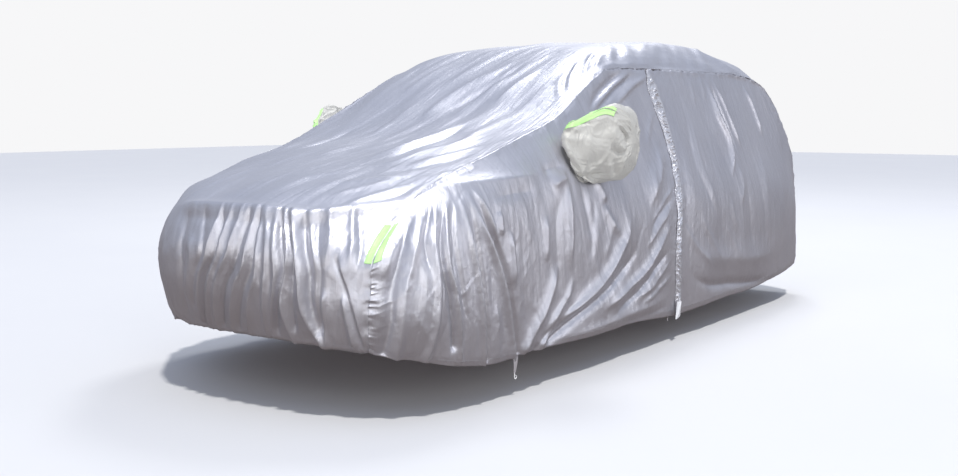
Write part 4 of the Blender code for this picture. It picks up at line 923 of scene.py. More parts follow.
def top_height(base, station, across, walked, sidestep):
    """How far the pleats push the top panel out at every grid point."""
    x, y, h = np.moveaxis(base, -1, 0)
    lip = LIP_STATION + CORNER_LIP * ease((across[0] - 0.55) / 0.45)
    at_lip = [np.interp(place, station[:, k], walked[:, k]) for k, place in enumerate(lip)]
    below = np.array(at_lip) - walked
    front, middle = ease((below + 0.020) / 0.045), ease((0.03 - below) / 0.10)
    rear, face = ease((station - REAR) / 1.5), ease(below / 0.06)
    height = front * fold_height(FRONT_FOLDS, x, h, 0.75, opening=0.20)
    height += middle * fold_height(TOP_FOLDS, x, y, 0.45, (0.8, -0.6))
    height += rear * fold_height(REAR_FOLDS, x, h)
    brow = ease((across + 0.60) / 0.35) * (1 - 0.6 * ease((across - 0.60) / 0.3))
    set_back = ease((below - 0.02) / 0.05) * ease((0.50 - below) / 0.36)
    height += brow * (BROW * pleat_cut(below / BROW_HALF, 0.6) - SET_BACK * set_back)
    height += face * waves(FACE_WAVES, x, h) + middle * waves(ROOF_WAVES, x, y)
    height += rear * waves(REAR_WAVES, x, h)
    height += face * creases(x, h, 120, ((-0.6, 0.30), (0.7, 0.78)), 82, 0.07, 0.0050, 0.0034, 16)
    height += middle * creases(x, y, 150, ((-0.7, -1.9), (0.7, 1.7)), 70, 0.11, 0.007, 0.0026, 17)
    edge = np.minimum(sidestep, sidestep[:, -1:] - sidestep)
    on_hood = ease((station - 4.6) / 0.6) * ease((10.5 - station) / 1.0)
    hood_pull = (puckers(walked + 0.75 * edge, 0.021, 18) - 0.5) * np.exp(-edge / 0.060)
    short_pull = gathers(walked, edge, 0.020, 0.040, 20) * ease(1 - edge / 0.14)
    pull = HOOD_PUCKER * on_hood * hood_pull + SEAM_PUCKER * (1 - on_hood) * short_pull
    height += pull * ease(edge / 0.010)
    to_hem = np.minimum(walked, walked[-1:] - walked)
    height += HEM_PUCKER * ease(1 - to_hem / 0.10) * (puckers(x, 0.021, 19) - 0.5)
    free = freedom(edge)
    far_front = ease((-across - 0.45) / 0.4) * (station < CORNER)
    roll = HEM_ROLL[1] + (HEM_ROLL[-1] - HEM_ROLL[1]) * far_front
    height -= roll * ease(1 - to_hem / 0.075) ** 1.5 * (0.35 + 0.65 * free) * free
    return height * (0.15 + 0.85 * free)


def top_panel():
    station, across = np.meshgrid(row_places(TOP_ROWS), TOP_ACROSS, indexing="ij")
    base = top_surface(station, across)
    sidestep = arc(base, 1)
    height = top_height(base, station, across, arc(base), sidestep)
    points = base + grid_normals(base) * height[..., None]
    points += seam_push(station[:, :1], sidestep, -1)
    points += seam_push(station[:, :1], sidestep[:, -1:] - sidestep, 1)
    return sheet_object("cover_top", points, silver), points


top_item, top_points = top_panel()

# %% [markdown]
# ## Side panels
# The left one is parted by a long zip, so it is two sheets; the right one is a single
# length. The corner seams are the most gathered places of the cover.

# %% Side panel: its hole for the pocket and the table of its small waves
HOLE_LINE, HOLE_LEVEL, HOLE_HALF_LINE, HOLE_HALF_LEVEL = 6.215, 0.225, 0.36, 0.115
POCKET_SQUARENESS = 3.6
HOLE_MARGIN = 0.90         # the pocket's flange covers the rest of the opening
SIDE_ROWS = 165
FIRST_SIDE_SEED = {1: 40, -1: 60}
ROOF_PUCKER, CORNER_PUCKER, REAR_PUCKER, ZIP_PUCKER = 0.0060, 0.0120, 0.0070, 0.0085
SIDE_ROLL = 0.006          # how far the side hem rolls in
CORNER_LINES, REAR_LINES = 4, 9      # lines up to here feel the corner seam, from here the rear one
SIDE_WAVES = (("swell", 8.0, 0.2, 0.0, 220, 500, 9), ("swell", 4.0, 0.0, 0.0, 110, 300, 0),
              ("swell", 1.6, 0.3, 0.0, 45, 160, 1), ("fold", 0.7, -0.8, 0.4, 32, 60, 11))
FENDER_WAVES = (("swell", 1.6, -0.12, 0.0, 24, 200, 2), ("fold", 1.1, 0.6, -0.5, 45, 80, 10))

# %% Side panel points


def side_height(base, line, level, hand, to_corner, to_rear, below_seam):
    """How far the pleats push a side panel out; the last three are distances from its edges."""
    y, h = base[..., 1], base[..., 2]
    seed = FIRST_SIDE_SEED[hand]
    fender, low = ease((-1.05 - y) / 0.30), ease((0.93 - h) / 0.05)
    height = fold_height(NEAR_FOLDS if hand > 0 else FAR_FOLDS, y, h, 0.68, (-1.0, 0.0))
    height += waves(SIDE_WAVES, y, h, seed) + fender * low * waves(FENDER_WAVES, y, h, seed)
    height += creases(y, h, 170, ((-1.2, 0.2), (2.1, 1.40)), 84, 0.09, 0.0060, 0.0024, seed + 3)
    height += low * creases(y, h, 150, ((-1.95, 0.2), (-1.10, 0.88)), 80, 0.07, 0.0050, 0.0030,
                            seed + 4)
    seam_gather = gathers(y, below_seam, 0.017, 0.030, seed + 5) * ease(1 - below_seam / 0.10)
    low_corner = (line < CORNER_LINES) * ease((level - 0.42) / 0.12)
    corner_gather = gathers(h, to_corner, 0.022, 0.045, seed + 6) * ease(1 - to_corner / 0.14)
    rear_gather = gathers(h, to_rear, 0.026, 0.040, seed + 7) * ease(1 - to_rear / 0.12)
    at_corner, at_rear = line < CORNER_LINES, line > REAR_LINES
    height += ROOF_PUCKER * seam_gather * (1 - 0.75 * fender)
    height += CORNER_PUCKER * corner_gather * low_corner + REAR_PUCKER * rear_gather * at_rear
    to_hem = below_seam[-1:] - below_seam
    elastic = ease(1 - to_hem / 0.09) * (0.35 + 0.65 * fender)
    height += HEM_PUCKER * elastic * (puckers(y, 0.023, seed + 8) - 0.5)
    edge = np.minimum(below_seam, np.where(at_corner, to_corner, np.where(at_rear, to_rear, 1.0)))
    free = freedom(edge)
    height -= SIDE_ROLL * ease(1 - to_hem / 0.045) ** 1.5 * free
    return height * (0.15 + 0.85 * free)


def side_panel(name, hand, rows, parts):
    """One side sheet between two upright lines, with the pocket's hole if it has one."""
    lines = row_places(parts)
    level, line = np.meshgrid(np.linspace(0, 1, rows), lines, indexing="ij")
    if hand > 0:
        slack = ZIP_HALF * 0.8 * (1 - ease(level / 0.08))
        line = line + slack * np.where(line < ZIP_LINE, ease(line - 7.0), -ease(9.0 - line))
    base = side_surface(line, level, hand)
    below_seam, from_first = arc(base), arc(base, 1)
    to_last = from_first[:, -1:] - from_first
    height = side_height(base, line, level, hand, from_first, to_last, below_seam)
    if hand > 0:
        near_zip = np.clip(np.abs(line - ZIP_LINE) - ZIP_HALF, 0, 1.0) * 0.47
        pucker = gathers(base[..., 2], near_zip, 0.026, 0.045, 80) * ease(1 - near_zip / 0.13)
        height += ZIP_PUCKER * pucker * ease(0.15 + near_zip / 0.02)
    points = base + grid_normals(base) * height[..., None]
    over_station = smooth(LINE_PLACES, SEAM_STARTS, line[:1])[..., 0]
    push = seam_push(over_station, below_seam, hand)
    for away, (end_line, stations) in zip((from_first, to_last), end_seams(level[:, :1])):
        if end_line in (lines[0], lines[-1]):
            along = seam_push(stations, away, hand)
            share = (seam_near(below_seam) * seam_near(away))[..., None]
            push = push + along - 0.5 * (push + along) * share
    points += push
    middle_line = 0.5 * (line[:-1, :-1] + line[1:, 1:])
    middle_level = 0.5 * (level[:-1, :-1] + level[1:, 1:])
    reach = (np.abs((middle_line - HOLE_LINE) / HOLE_HALF_LINE) ** POCKET_SQUARENESS
             + np.abs((middle_level - HOLE_LEVEL) / HOLE_HALF_LEVEL) ** POCKET_SQUARENESS)
    return sheet_object(name, points, silver, keep=reach > HOLE_MARGIN), points, lines


# name: hand, rows, and the columns as part, first and last line, count
SIDE_PANELS = {
    "left_front": (1, SIDE_ROWS, (("corner", 0.0, 1.0, 34), ("fan", 1.0, 3.0, 62),
                                  ("wheel", 3.0, 5.0, 60), ("door", 5.0, 7.0, 62),
                                  ("zip", 7.0, ZIP_LINE - ZIP_HALF, 48))),
    "left_rear": (1, SIDE_ROWS, (("zip", ZIP_LINE + ZIP_HALF, 9.0, 62), ("door", 9.0, 10.0, 46),
                                 ("wheel", 10.0, 11.0, 42), ("rear", 11.0, float(SIDE_LAST), 60))),
    "right": (-1, 120, (("corner", 0.0, 1.0, 24), ("fan", 1.0, 4.0, 80), ("door", 4.0, 8.0, 120),
                        ("rear_door", 8.0, 11.0, 80), ("rear", 11.0, float(SIDE_LAST), 40))),
}
side_items, side_points, side_lines = {}, {}, {}
for word, plan in SIDE_PANELS.items():
    side_items[word], side_points[word], side_lines[word] = side_panel("cover_" + word, *plan)
left_front_points, left_rear_points = side_points["left_front"], side_points["left_rear"]


def on_side(hand, line, level):
    """Points and outward directions of a front side panel at its lines and levels."""
    word = "left_front" if hand > 0 else "right"
    points, lines = side_points[word], side_lines[word]
    row = np.clip(level, 0, 1) * (len(points) - 1)
    return between(points, row, np.interp(line, lines, np.arange(len(lines))))


# %% [markdown]
# ## Mirror pockets
# Each side has a bag of cream cloth, set into the panel with a narrow flange. It is lofted
# from rings, outward from the panel to the tip, and then crumpled: the real bag hangs
# slack, with creases that run together at its lower corner.

# %% Rings of a mirror pocket
# outward from the panel, in mm: x, centre y h, half width along y, half height
POCKET_RINGS = (
    ("throat", 800, -628, 1020, 145, 118),
    ("shoulder", 843, -588, 1030, 145, 148),
    ("belly", 888, -542, 1047, 136, 168),
    ("front", 932, -500, 1066, 126, 176),
    ("brow", 970, -474, 1072, 102, 142),
    ("cap", 992, -460, 1074, 66, 90),
    ("crown", 1000, -455, 1074, 30, 40),
)
THROAT = 0.800
FLANGE = {-2: (1.06, 0.0012), -1: (1.0, 0.0030)}      # ring: its size, its height off the panel
POCKET_UNIT = (0.0026, 0.27)      # metres of cloth for a degree of turn, and from panel to tip
POCKET_TURN_STEPS, POCKET_REACH_STEPS = 168, 76
# name, depth mm, half width mm, runs out, crest as turn in degrees and share of the reach
POCKET_FOLDS = (
    ("band_ridge", 9, 15, 1, (132, 0.03), (134, 0.35), (130, 0.66)),
    ("face_ridge", 16, 30, 0, (146, 0.02), (166, 0.12), (176, 0.3), (181, 0.55), (165, 0.82)),
    ("low_hollow", -12, 34, 0, (214, 0.08), (222, 0.35), (226, 0.62)),
    ("wedge_a", -12, 9, 0, (164, 0.72), (173, 0.84), (188, 0.94)),
    ("wedge_a_rise", 8, 9, 0, (156, 0.7), (165, 0.82), (178, 0.94)),
    ("wedge_b", -12, 9, 0, (180, 0.6), (189, 0.7), (204, 0.8)),
    ("wedge_b_rise", 8, 9, 0, (176, 0.66), (184, 0.76), (198, 0.86)),
    ("crease_down", 11, 13, 0, (184, 0.58), (215, 0.61), (266, 0.54)),
    ("crease_dip", -11, 13, 0, (192, 0.68), (222, 0.68), (266, 0.61)),
    ("corner_fold", 9, 11, 0, (200, 0.82), (232, 0.76), (268, 0.62)),
    ("seat_pull", 8, 10, 0, (158, 0.01), (174, 0.1), (196, 0.22)),
    ("seat_dip", -8, 9, 0, (168, 0.01), (188, 0.12), (214, 0.24)),
    ("upper_fan", 7, 10, 0, (140, 0.1), (152, 0.22), (168, 0.32)),
    ("upper_dip", -6, 10, 0, (140, 0.2), (150, 0.34), (166, 0.48)),
    ("cap_crease", 7, 12, 0, (104, 0.76), (124, 0.88), (150, 0.96)),
    ("top_a", 6, 16, 0, (60, 0.2), (84, 0.45), (104, 0.7)),
    ("top_dip", -6, 16, 0, (40, 0.15), (66, 0.45), (90, 0.74)),
    ("back_a", 8, 16, 0, (10, 0.1), (352, 0.4), (330, 0.66)),
)

# %% Mirror pocket


def ring_faces(rows, columns):
    """Faces between rings of points, and the points of the first and the last ring."""
    number = np.arange(rows * columns).reshape(rows, columns)
    after = np.roll(number, -1, axis=1)
    quads = np.stack([number[:-1], after[:-1], after[1:], number[1:]], -1).reshape(-1, 4)
    return quads.tolist(), number[0].tolist(), number[-1].tolist()


def add_mesh(name, points, faces, material):
    """Smooth mesh object from points in table places and a list of faces."""
    mesh = bpy.data.meshes.new(name)
    mesh.from_pydata(placed(points).tolist(), [], faces)
    mesh.materials.append(material)
    mesh.shade_smooth()
    print(name, len(faces), "faces")
    return add_object(name, mesh)


def wrapped_sheet(name, rings, tip, material):
    """Thin closed bag: rings of points that close on themselves, drawn to a tip."""
    normal = ring_normals(rings)
    tip_way = normal[-1].mean(0)
    outer = np.vstack([rings.reshape(-1, 3), tip])
    ways = np.vstack([normal.reshape(-1, 3), tip_way / np.linalg.norm(tip_way)])
    count = len(outer)
    front, first, last = ring_faces(*rings.shape[:2])
    front += [[a, b, count - 1] for a, b in zip(last, last[1:] + last[:1])]
    back = [[count + k for k in reversed(face)] for face in front]
    rim = [[b, a, count + a, count + b] for a, b in zip(first, first[1:] + first[:1])]
    faces = front + back + rim
    corner = outer[front[0]]
    if np.dot(np.cross(corner[1] - corner[0], corner[3] - corner[0]), normal[0, 0]) < 0:
        faces = [face[::-1] for face in faces]
    return add_mesh(name, np.vstack([outer, outer - CLOTH * ways]), faces, material)


def pocket_ring(hand, turn, ring):
    """One ring of the bag at turn angles; rings -2 and -1 are the flange on the panel."""
    along, up = (np.sign(way) * np.abs(way) ** (2 / POCKET_SQUARENESS)
                 for way in (np.cos(turn), np.sin(turn)))
    grow, lift = FLANGE.get(ring, (0.985, 0.0))
    seat, facing = on_side(hand, HOLE_LINE + HOLE_HALF_LINE * grow * along,
                           HOLE_LEVEL - HOLE_HALF_LEVEL * grow * up)
    if ring < 0:
        return seat + lift * facing
    x, y, h, half_y, half_h = np.array(POCKET_RINGS[ring][1:]) / 1000
    if hand < 0:
        x, y, half_y = THROAT + 0.68 * (x - THROAT), y + 0.008, 0.80 * half_y
    clear = np.abs(seat[:, 0]) + 0.012 * (ring + 1)
    return np.stack([hand * np.maximum(x, clear), y + half_y * along, h + half_h * up], -1)


def mirror_pocket(name, hand, seed):
    turn = np.linspace(0, 2 * math.pi, POCKET_TURN_STEPS, endpoint=False)
    rings = np.array([pocket_ring(hand, turn, ring) for ring in range(-2, len(POCKET_RINGS))])
    reach = np.linspace(0, 1, POCKET_REACH_STEPS)
    knots = np.concatenate([[0, 0.02], np.linspace(0.10, 1.0, len(POCKET_RINGS))])
    fine = smooth(knots, rings.reshape(len(rings), -1), reach).reshape(len(reach), -1, 3)
    normal = ring_normals(fine)
    turns, share = np.meshgrid(turn, reach)
    around, out = np.degrees(turns) * POCKET_UNIT[0], share * POCKET_UNIT[1]
    a, b = 0.14 * np.cos(turns), 0.14 * np.sin(turns)
    height = 1.15 * fold_height(POCKET_FOLDS, around, out, 0.9, unit=POCKET_UNIT)
    height += 0.0110 * (ridged(a + out, b - out, 0.080, 0.075, seed) - 0.5)
    height += 0.0045 * (ridged(a - out, b + 0.5 * out, 0.036, 0.040, seed + 1) - 0.5)
    height += creases(around, out, 90, ((0.0, 0.02), (0.94, 0.26)), 60, 0.035, 0.0035, 0.0030,
                      seed + 2)
    height += 0.006 * gathers(around, out, 0.020, 0.035, seed + 3) * ease(1 - out / 0.08)
    calm = ease(share / 0.09) * (0.35 + 0.65 * ease((1 - share) / 0.15))
    fine = fine + normal * (height * calm)[..., None]
    tip = fine[-1].mean(0) + (hand * 0.003, 0, 0)
    return wrapped_sheet(name, fine, tip, cream), fine, normal


pockets = {word: mirror_pocket("pocket_" + word, hand, seed)
           for word, hand, seed in (("left", 1, 90), ("right", -1, 96))}

# %% [markdown]
# ## Reflective bands
# Two strips of lime tape lie side by side on each front corner, with the seam between
# them, and two more along the upper front edge of each mirror pocket. They take the shape
# of the cloth below, so they are cut out of its grid and lifted a little.

# %% Strips cut from the sheets
TAPE = 0.0008              # tape thickness
TAPE_STATIONS = (2.9, 4.1)      # where the corner bands end, as stations of the top panel
HALF_FRONT = 0.70          # half the front's width at the bands
FAR_INSET = 0.035          # the far band lies this far in from its seam
TOP_STATIONS = row_places(TOP_ROWS)
STITCH_LIFT = TRIM_LIFT + 0.0012      # stitches lie on the tape


def strip(name, points, ways, seed):
    """Thin strip of tape laid on a grid of places, a little uneven."""
    i, j = np.indices(points.shape[:2])
    grid = points + ways * (TRIM_LIFT + 0.0010 * drift(i, j, 5.0, 3.0, seed + 300))[..., None]
    outside = points.mean((0, 1)) - ways.mean((0, 1))
    return sheet_object(name, grid, lime, thickness=TAPE, outside=outside)


def corner_strip(name, hand, on_top, seed):
    """Band beside a front corner seam, on the top or the side panel, and its two long edges."""
    station, over = np.meshgrid(np.linspace(*TAPE_STATIONS, 44), np.linspace(0.11, 1.0, 8),
                                indexing="ij")
    if on_top:
        inset = 0.0 if hand > 0 else FAR_INSET
        across = hand * (1 - (inset + STRIP_WIDTH * over) / HALF_FRONT)
        row = np.interp(station, TOP_STATIONS, np.arange(len(TOP_STATIONS)))
        points, ways = between(top_points, row, np.interp(across, TOP_ACROSS, np.arange(TOP_COLUMNS)))
    else:
        points, ways = on_side(hand, 0.16 * over, 1 - station / CORNER)
    edges = [(points[:, k] + STITCH_LIFT * ways[:, k], ways[:, k]) for k in (1, -2)]
    return strip(name, points, ways, seed), edges


bands, band_edges = {}, {}
for hand, word in ((1, "left"), (-1, "right")):
    for part, on_top, seed in (("inner", True, 1), ("outer", False, 2)):
        name = f"corner_{word}_{part}"
        band, band_edges[name] = corner_strip("tape_" + name, hand, on_top, seed)
        bands[f"corner_band_{word}_{part}"] = band
for word, (_, rings, ways) in pockets.items():
    for part, low, high in (("top", 121, 132), ("front", 136, 147)):
        turns = slice(int(low / 360 * POCKET_TURN_STEPS), int(high / 360 * POCKET_TURN_STEPS) + 2)
        bands[f"pocket_band_{word}_{part}"] = strip(
            f"tape_pocket_{word}_{part}", rings[6:50, turns], ways[6:50, turns], seed=3)
print(len(bands), "bands")

# %% [markdown]
# ## Zip ribbon and its tab
# The side zip is hidden by a ribbon that was gathered as it was sewn, so it stands up in
# small uneven puckers. It narrows to nothing at the roof seam. A pale tab closes it at
# the hem.

# %% Ribbon
RIBBON_ROWS, RIBBON_COLUMNS = 900, 19
RIBBON_LEVELS, RIBBON_SHARES = (0.004, 0.985), (-0.14, 1.14)      # its length and its width
LAST_COLUMN = left_front_points.shape[1] - 1


def zip_ribbon():
    """The ribbon over the gap between the two left sheets, its places and its outward ways."""
    row = np.linspace(*RIBBON_LEVELS, RIBBON_ROWS) * (SIDE_ROWS - 1)
    share = np.linspace(*RIBBON_SHARES, RIBBON_COLUMNS)
    left, way = between(left_front_points, row, np.full(len(row), LAST_COLUMN - 0.001))
    right, _ = between(left_rear_points, row, np.zeros(len(row)))
    place, over = np.meshgrid(arc(left), share, indexing="ij")
    crown = 1 - np.abs(2 * np.clip(over, 0, 1) - 1) ** 4
    lean = place + 0.012 * drift(place, over, 0.05, 0.4, 101)
    lean += 0.016 * over * np.sign(drift(place, 0 * place, 0.16, 1.0, 106))
    sharp = ridged(lean, over, 0.0105, 0.75, 102) - 0.5
    broad = drift(lean, over, 0.026, 0.80, 103)
    grown = ease(0.10 + place / 0.12)
    rise = 0.0026 + crown * grown * (0.0050 + 0.0130 * sharp + 0.0060 * broad)
    frayed = 0.0050 * (ridged(place, over > 0.5, 0.013, 1.0, 104) - 0.4)
    frayed += 0.003 * drift(place, over, 0.05, 1.0, 105)
    points = left[:, None] + (right - left)[:, None] * share[None, :, None]
    points = points + way[:, None] * np.maximum(rise, 0.0016)[..., None]
    points[..., 1] += (2 * over - 1) ** 2 * np.sign(over - 0.5) * grown * frayed
    points[..., 2] += 0.0030 * drift(place, over, 0.016, 0.5, 107) * crown
    outside = points.mean((0, 1)) - (0.2, 0.0, 0.0)
    item = sheet_object("ribbon", points, ribbon_finish, thickness=0.0009, outside=outside)
    return item, points, way


ribbon, ribbon_points, ribbon_ways = zip_ribbon()

# %% Tab at the ribbon's foot


def zip_tab():
    """Pale trapezoid with a fold from corner to corner."""
    down, over = np.meshgrid(np.linspace(0, 1, 30), np.linspace(-1, 1, 22), indexing="ij")
    half = 0.0165 + 0.0140 * down
    (foot,), _ = between(left_front_points, np.array([SIDE_ROWS - 12.0]),
                         np.array([LAST_COLUMN - 1.0]))
    crease = 0.004 * np.exp(-np.abs(over - 0.9 + 1.7 * down) / 0.16)
    x = foot[0] + 0.016 + crease + 0.0025 * np.sin(2.2 * over + 2.5 * down) - 0.004 * down ** 2
    y = foot[1] + 0.018 + half * over - 0.004 * down
    h = 0.212 - 0.086 * down + 0.004 * over * down
    return sheet_object("ribbon_tab", np.stack([x, y, h], -1), tab_finish, thickness=0.0016,
                        outside=np.array((0.0, 0.25, 0.17)))


tab = zip_tab()

# %% [markdown]
# ## Stitches
# The panels are sewn with a long straight stitch, which shows as a row of short pale dashes
# beside each seam, above the hem and along the tapes. A small node tree lays them: it spaces
# places evenly along a line, sets one arch of thread at each and turns it a little.

# %% Node tree for a row of stitches
STITCH_INPUTS = {"Geometry": "Geometry", "Pitch": "Float", "Length": "Float", "Thread": "Float",
                 "Tilt": "Float", "Seed": "Int", "Finish": "Material"}


def stitch_tree():
    tree = bpy.data.node_groups.new("stitch_row", "GeometryNodeTree")
    tree.interface.new_socket("Geometry", in_out="OUTPUT", socket_type="NodeSocketGeometry")
    for name, kind in STITCH_INPUTS.items():
        tree.interface.new_socket(name, in_out="INPUT", socket_type="NodeSocket" + kind)
    node = Wire(tree).node
    given = {socket.name: Wire(tree, socket) for socket in tree.nodes.new("NodeGroupInput").outputs}
    line = node("GeometryNodeMeshToCurve", Mesh=given["Geometry"])
    even = node("GeometryNodeResampleCurve", {"mode": "LENGTH"}, Curve=line, Length=given["Pitch"])
    arch = node("GeometryNodeCurveQuadraticBezier", Resolution=3,
                Start=node("ShaderNodeCombineXYZ", X=-0.5 * given["Length"]),
                Middle=node("ShaderNodeCombineXYZ", Z=given["Thread"]),
                End=node("ShaderNodeCombineXYZ", X=0.5 * given["Length"]))
    ring = node("GeometryNodeCurvePrimitiveCircle", {"mode": "RADIUS"}, Resolution=4,
                Radius=given["Thread"])
    dash = node("GeometryNodeCurveToMesh", Curve=arch, Profile_Curve=ring, Fill_Caps=True)
    outward = node("GeometryNodeInputNamedAttribute", {"data_type": "FLOAT_VECTOR"}, Name="outward")
    turned = node("FunctionNodeAxesToRotation", {"primary_axis": "X", "secondary_axis": "Z"},
                  Primary_Axis=node("GeometryNodeInputTangent"), Secondary_Axis=outward)
    # numbers from -1 to 1: the float sockets of a node that also holds vectors and integers
    chance = node("FunctionNodeRandomValue", {"data_type": "FLOAT"}, output=1, i2=-1.0,
                  Seed=given["Seed"])
    tilt = node("FunctionNodeAxisAngleToRotation", Axis=(0.0, 0.0, 1.0),
                Angle=chance * given["Tilt"])
    final = node("FunctionNodeRotateRotation", {"rotation_space": "LOCAL"}, Rotation=turned,
                 Rotate_By=tilt)
    laid = node("GeometryNodeInstanceOnPoints", Points=even, Instance=dash, Rotation=final)
    real = node("GeometryNodeRealizeInstances", Geometry=laid)
    done = node("GeometryNodeSetMaterial", Geometry=real, Material=given["Finish"])
    plug(tree.nodes.new("NodeGroupOutput"), "Geometry", done)
    return tree


stitch_nodes = stitch_tree()
print("stitch tree:", len(stitch_nodes.nodes), "nodes")

# %% Rows of stitches
STITCH = {"Pitch": 0.0090, "Length": 0.0050, "Thread": 0.0005, "Tilt": 0.14}
TAPE_STITCH = {"Pitch": 0.0065, "Length": 0.0040}


def stitch_row(name, lines, seed, **changes):
    """Stitches along one or more lines, each a pair of points and outward directions."""
    points, ways = (np.concatenate([line[k] for line in lines]) for k in (0, 1))
    ends = np.cumsum([len(line[0]) for line in lines])
    edges = [(k, k + 1) for k in range(len(points) - 1) if k + 1 not in ends]
    mesh = bpy.data.meshes.new(name + "_line")
    mesh.from_pydata(placed(points).tolist(), edges, [])
    outward = mesh.attributes.new("outward", "FLOAT_VECTOR", "POINT")
    outward.data.foreach_set("vector", ways.astype(np.float32).ravel())
    item = add_object(name, mesh)
    modifier = item.modifiers.new("stitches", "NODES")
    modifier.node_group = stitch_nodes
    values = dict(STITCH, Seed=seed, Finish=thread_finish, **changes)
    for socket in stitch_nodes.interface.items_tree:
        if socket.name in values:
            modifier[socket.identifier] = values[socket.name]
    graph = bpy.context.evaluated_depsgraph_get()
    plain = bpy.data.meshes.new_from_object(item.evaluated_get(graph))
    item.modifiers.clear()
    item.data = plain
    bpy.data.meshes.remove(mesh)
    print(name, len(plain.polygons), "faces")
    return item


def line_on(points, first, last, steps=1600):
    """A line over a finished panel between two places given as row and column."""
    spots, ways = between(points, *(np.linspace(first[k], last[k], steps) for k in (0, 1)))
    return spots + 0.0003 * ways, ways


# %% Where the stitches run
SIDE_HEM = 0.976           # share of a side panel's height at which its hem is sewn
FLANGE_RING = 3            # the pocket's ring that is sewn to the panel
top_last, side_last = top_points.shape[0] - 1, top_points.shape[1] - 1
seam_lines = [line_on(top_points, (0, column), (top_last, column)) for column in (side_last - 2.0, 1.0)]
hem_lines = [line_on(top_points, (row, 0), (row, side_last)) for row in (1.6, top_last - 1.0)]
stitch_rows = {"top": seam_lines + hem_lines}
for word, points in side_points.items():
    rows, columns = points.shape[0] - 1, points.shape[1] - 1
    stitch_rows[word] = [line_on(points, (SIDE_HEM * rows, 0), (SIDE_HEM * rows, columns))]
for word, (_, rings, ways) in pockets.items():
    ring, way = (np.vstack([grid[FLANGE_RING], grid[FLANGE_RING][:1]]) for grid in (rings, ways))
    stitch_rows["pocket_" + word] = [(ring + 0.0006 * ways[FLANGE_RING].mean(0), way)]
stitch_rows["ribbon"] = [(ribbon_points[:, k] + 0.0006 * ribbon_ways, ribbon_ways) for k in (1, -2)]
stitches = {word: stitch_row("stitches_" + word, lines, seed)
            for seed, (word, lines) in enumerate(stitch_rows.items(), start=7)}
for name, lines in band_edges.items():
    stitches[name] = stitch_row("stitches_" + name, lines, 31, **TAPE_STITCH)

# %% [markdown]
# ## Strap
# Low on the left side, a third of the way back, two narrow straps hang from the hem with a
# small hook between them. In use they pass under the cover and hold it down.

# %% Strap, hook and cord end
STRAP_X, STRAP_Y, STRAP_TOP, STRAP_DROP, STRAP_HALF = 0.880, -1.253, 0.196, 0.096, 0.0064
HOOK_RADIUS, HOOK_HEIGHT = 0.007, 0.082
CORD_MIDDLE = (0.1485, 0.138)


def flat_strap(name, path, width_way):
    """Flat strap along a path, its width in one direction."""
    points = path[:, None] + STRAP_HALF * np.linspace(-1, 1, 6)[None, :, None] * np.array(width_way)
    outside = path.mean(0) - (0.1, 0.0, 0.0)
    return sheet_object(name, points, strap_finish, thickness=0.0014, outside=outside)


def rod(name, path, radius, material, sides=10):
    """Round rod along a path, closed at both ends."""
    path = np.asarray(path, float)
    run = np.gradient(path, axis=0)
    side = np.cross(run, (1.0, 0.0, 0.0))
    other = np.cross(run, side)
    side, other = (way / np.linalg.norm(way, axis=1, keepdims=True) for way in (side, other))
    turn = np.linspace(0, 2 * math.pi, sides, endpoint=False)[:, None]
    rings = path[:, None] + radius * (np.cos(turn) * side[:, None] + np.sin(turn) * other[:, None])
    quads, first, last = ring_faces(len(path), sides)
    return add_mesh(name, rings.reshape(-1, 3), quads + [first[::-1], last], material)


def strap_path(lean):
    drop = np.linspace(0, 1, 24)
    x = STRAP_X - 0.002 + 0.004 * np.sin(3 * drop + lean)
    y = STRAP_Y + lean * (0.0092 - 0.003 * drop) + 0.002 * np.sin(4 * drop)
    return np.stack([x, y, STRAP_TOP - STRAP_DROP * drop], -1)


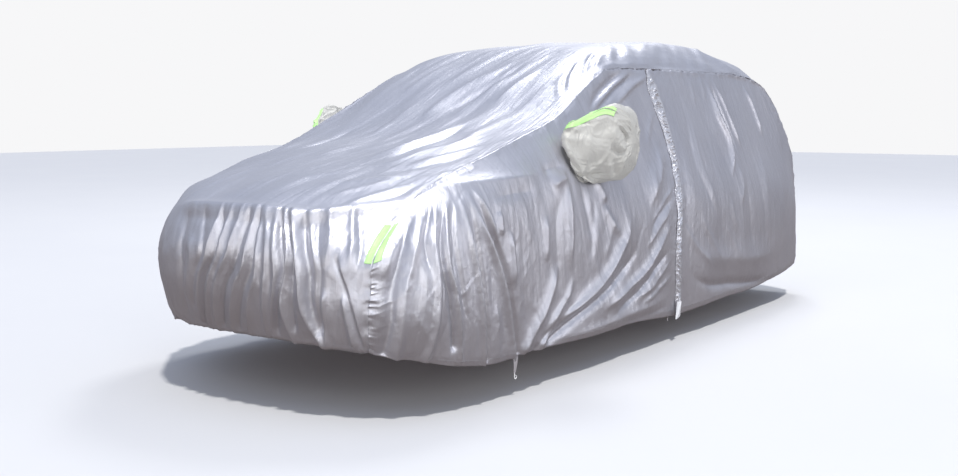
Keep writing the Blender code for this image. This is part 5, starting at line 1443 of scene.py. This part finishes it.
strap_back = flat_strap("strap_back", strap_path(-1.0), (0.0, 1.0, 0.0))
strap_front = flat_strap("strap_front", strap_path(1.0), (0.15, 0.985, 0.0))
hook_path = [(STRAP_X, STRAP_Y - 0.006, height) for height in (0.102, 0.090)]
hook_path += [(STRAP_X, STRAP_Y + 0.001 - HOOK_RADIUS * math.cos(a),
               HOOK_HEIGHT - HOOK_RADIUS * math.sin(a)) for a in np.linspace(0, 1.5 * math.pi, 18)]
hook = rod("strap_hook", hook_path, 0.0020, clip_finish)
cord_path = [(STRAP_X, CORD_MIDDLE[0] + 0.0030 * math.cos(a), CORD_MIDDLE[1] + 0.021 * math.sin(a))
             for a in np.linspace(0.6, 2 * math.pi + 0.5, 26)]
cord_end = rod("hem_loop", cord_path, 0.0011, strap_finish)
print("strap hangs", STRAP_DROP, "m below the hem")

# %% [markdown]
# ## Fixing the pieces to the part
# Every sheet stands for its solid node and rides on the part's one body.

# %% Ride and replace


def fix(item, slot, *nodes):
    if nodes:
        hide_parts(*nodes)
    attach(item, "root")


for word, item in stitches.items():
    fix(item, "reflective_band" if word.startswith("corner") else "silver_cloth")
# piece, its stitches, solid node, flat width and length, flat area if it isn't a rectangle
for item, word, node, flat, area in (
        (top_item, "top", "top_panel", (1.55, 6.9), None),
        (side_items["left_front"], "left_front", "side_panel_left_front", (2.55, 1.35), 2.75),
        (side_items["left_rear"], "left_rear", "side_panel_left_rear", (2.05, 1.40), 2.55),
        (side_items["right"], "right", "side_panel_right", (4.45, 1.40), 5.2)):
    fix(item, "silver_cloth", node)
for word, flat in (("left", (0.62, 0.40)), ("right", (0.66, 0.40))):
    item = pockets[word][0]
    fix(item, "pocket_cloth", "mirror_pocket_" + word)
    stitches["pocket_" + word]
fix(ribbon, "zip_ribbon", "door_zip_ribbon")
fix(tab, "zip_ribbon", "zip_end_tab")
for node, item in bands.items():
    fix(item, "reflective_band", node)
fix(strap_back, "strap_webbing", "wheel_strap")
fix(strap_front, "strap_webbing", "wheel_strap")
fix(hook, "clip_plastic", "wheel_strap_clip")
fix(cord_end, "strap_webbing", "hem_cord_end")
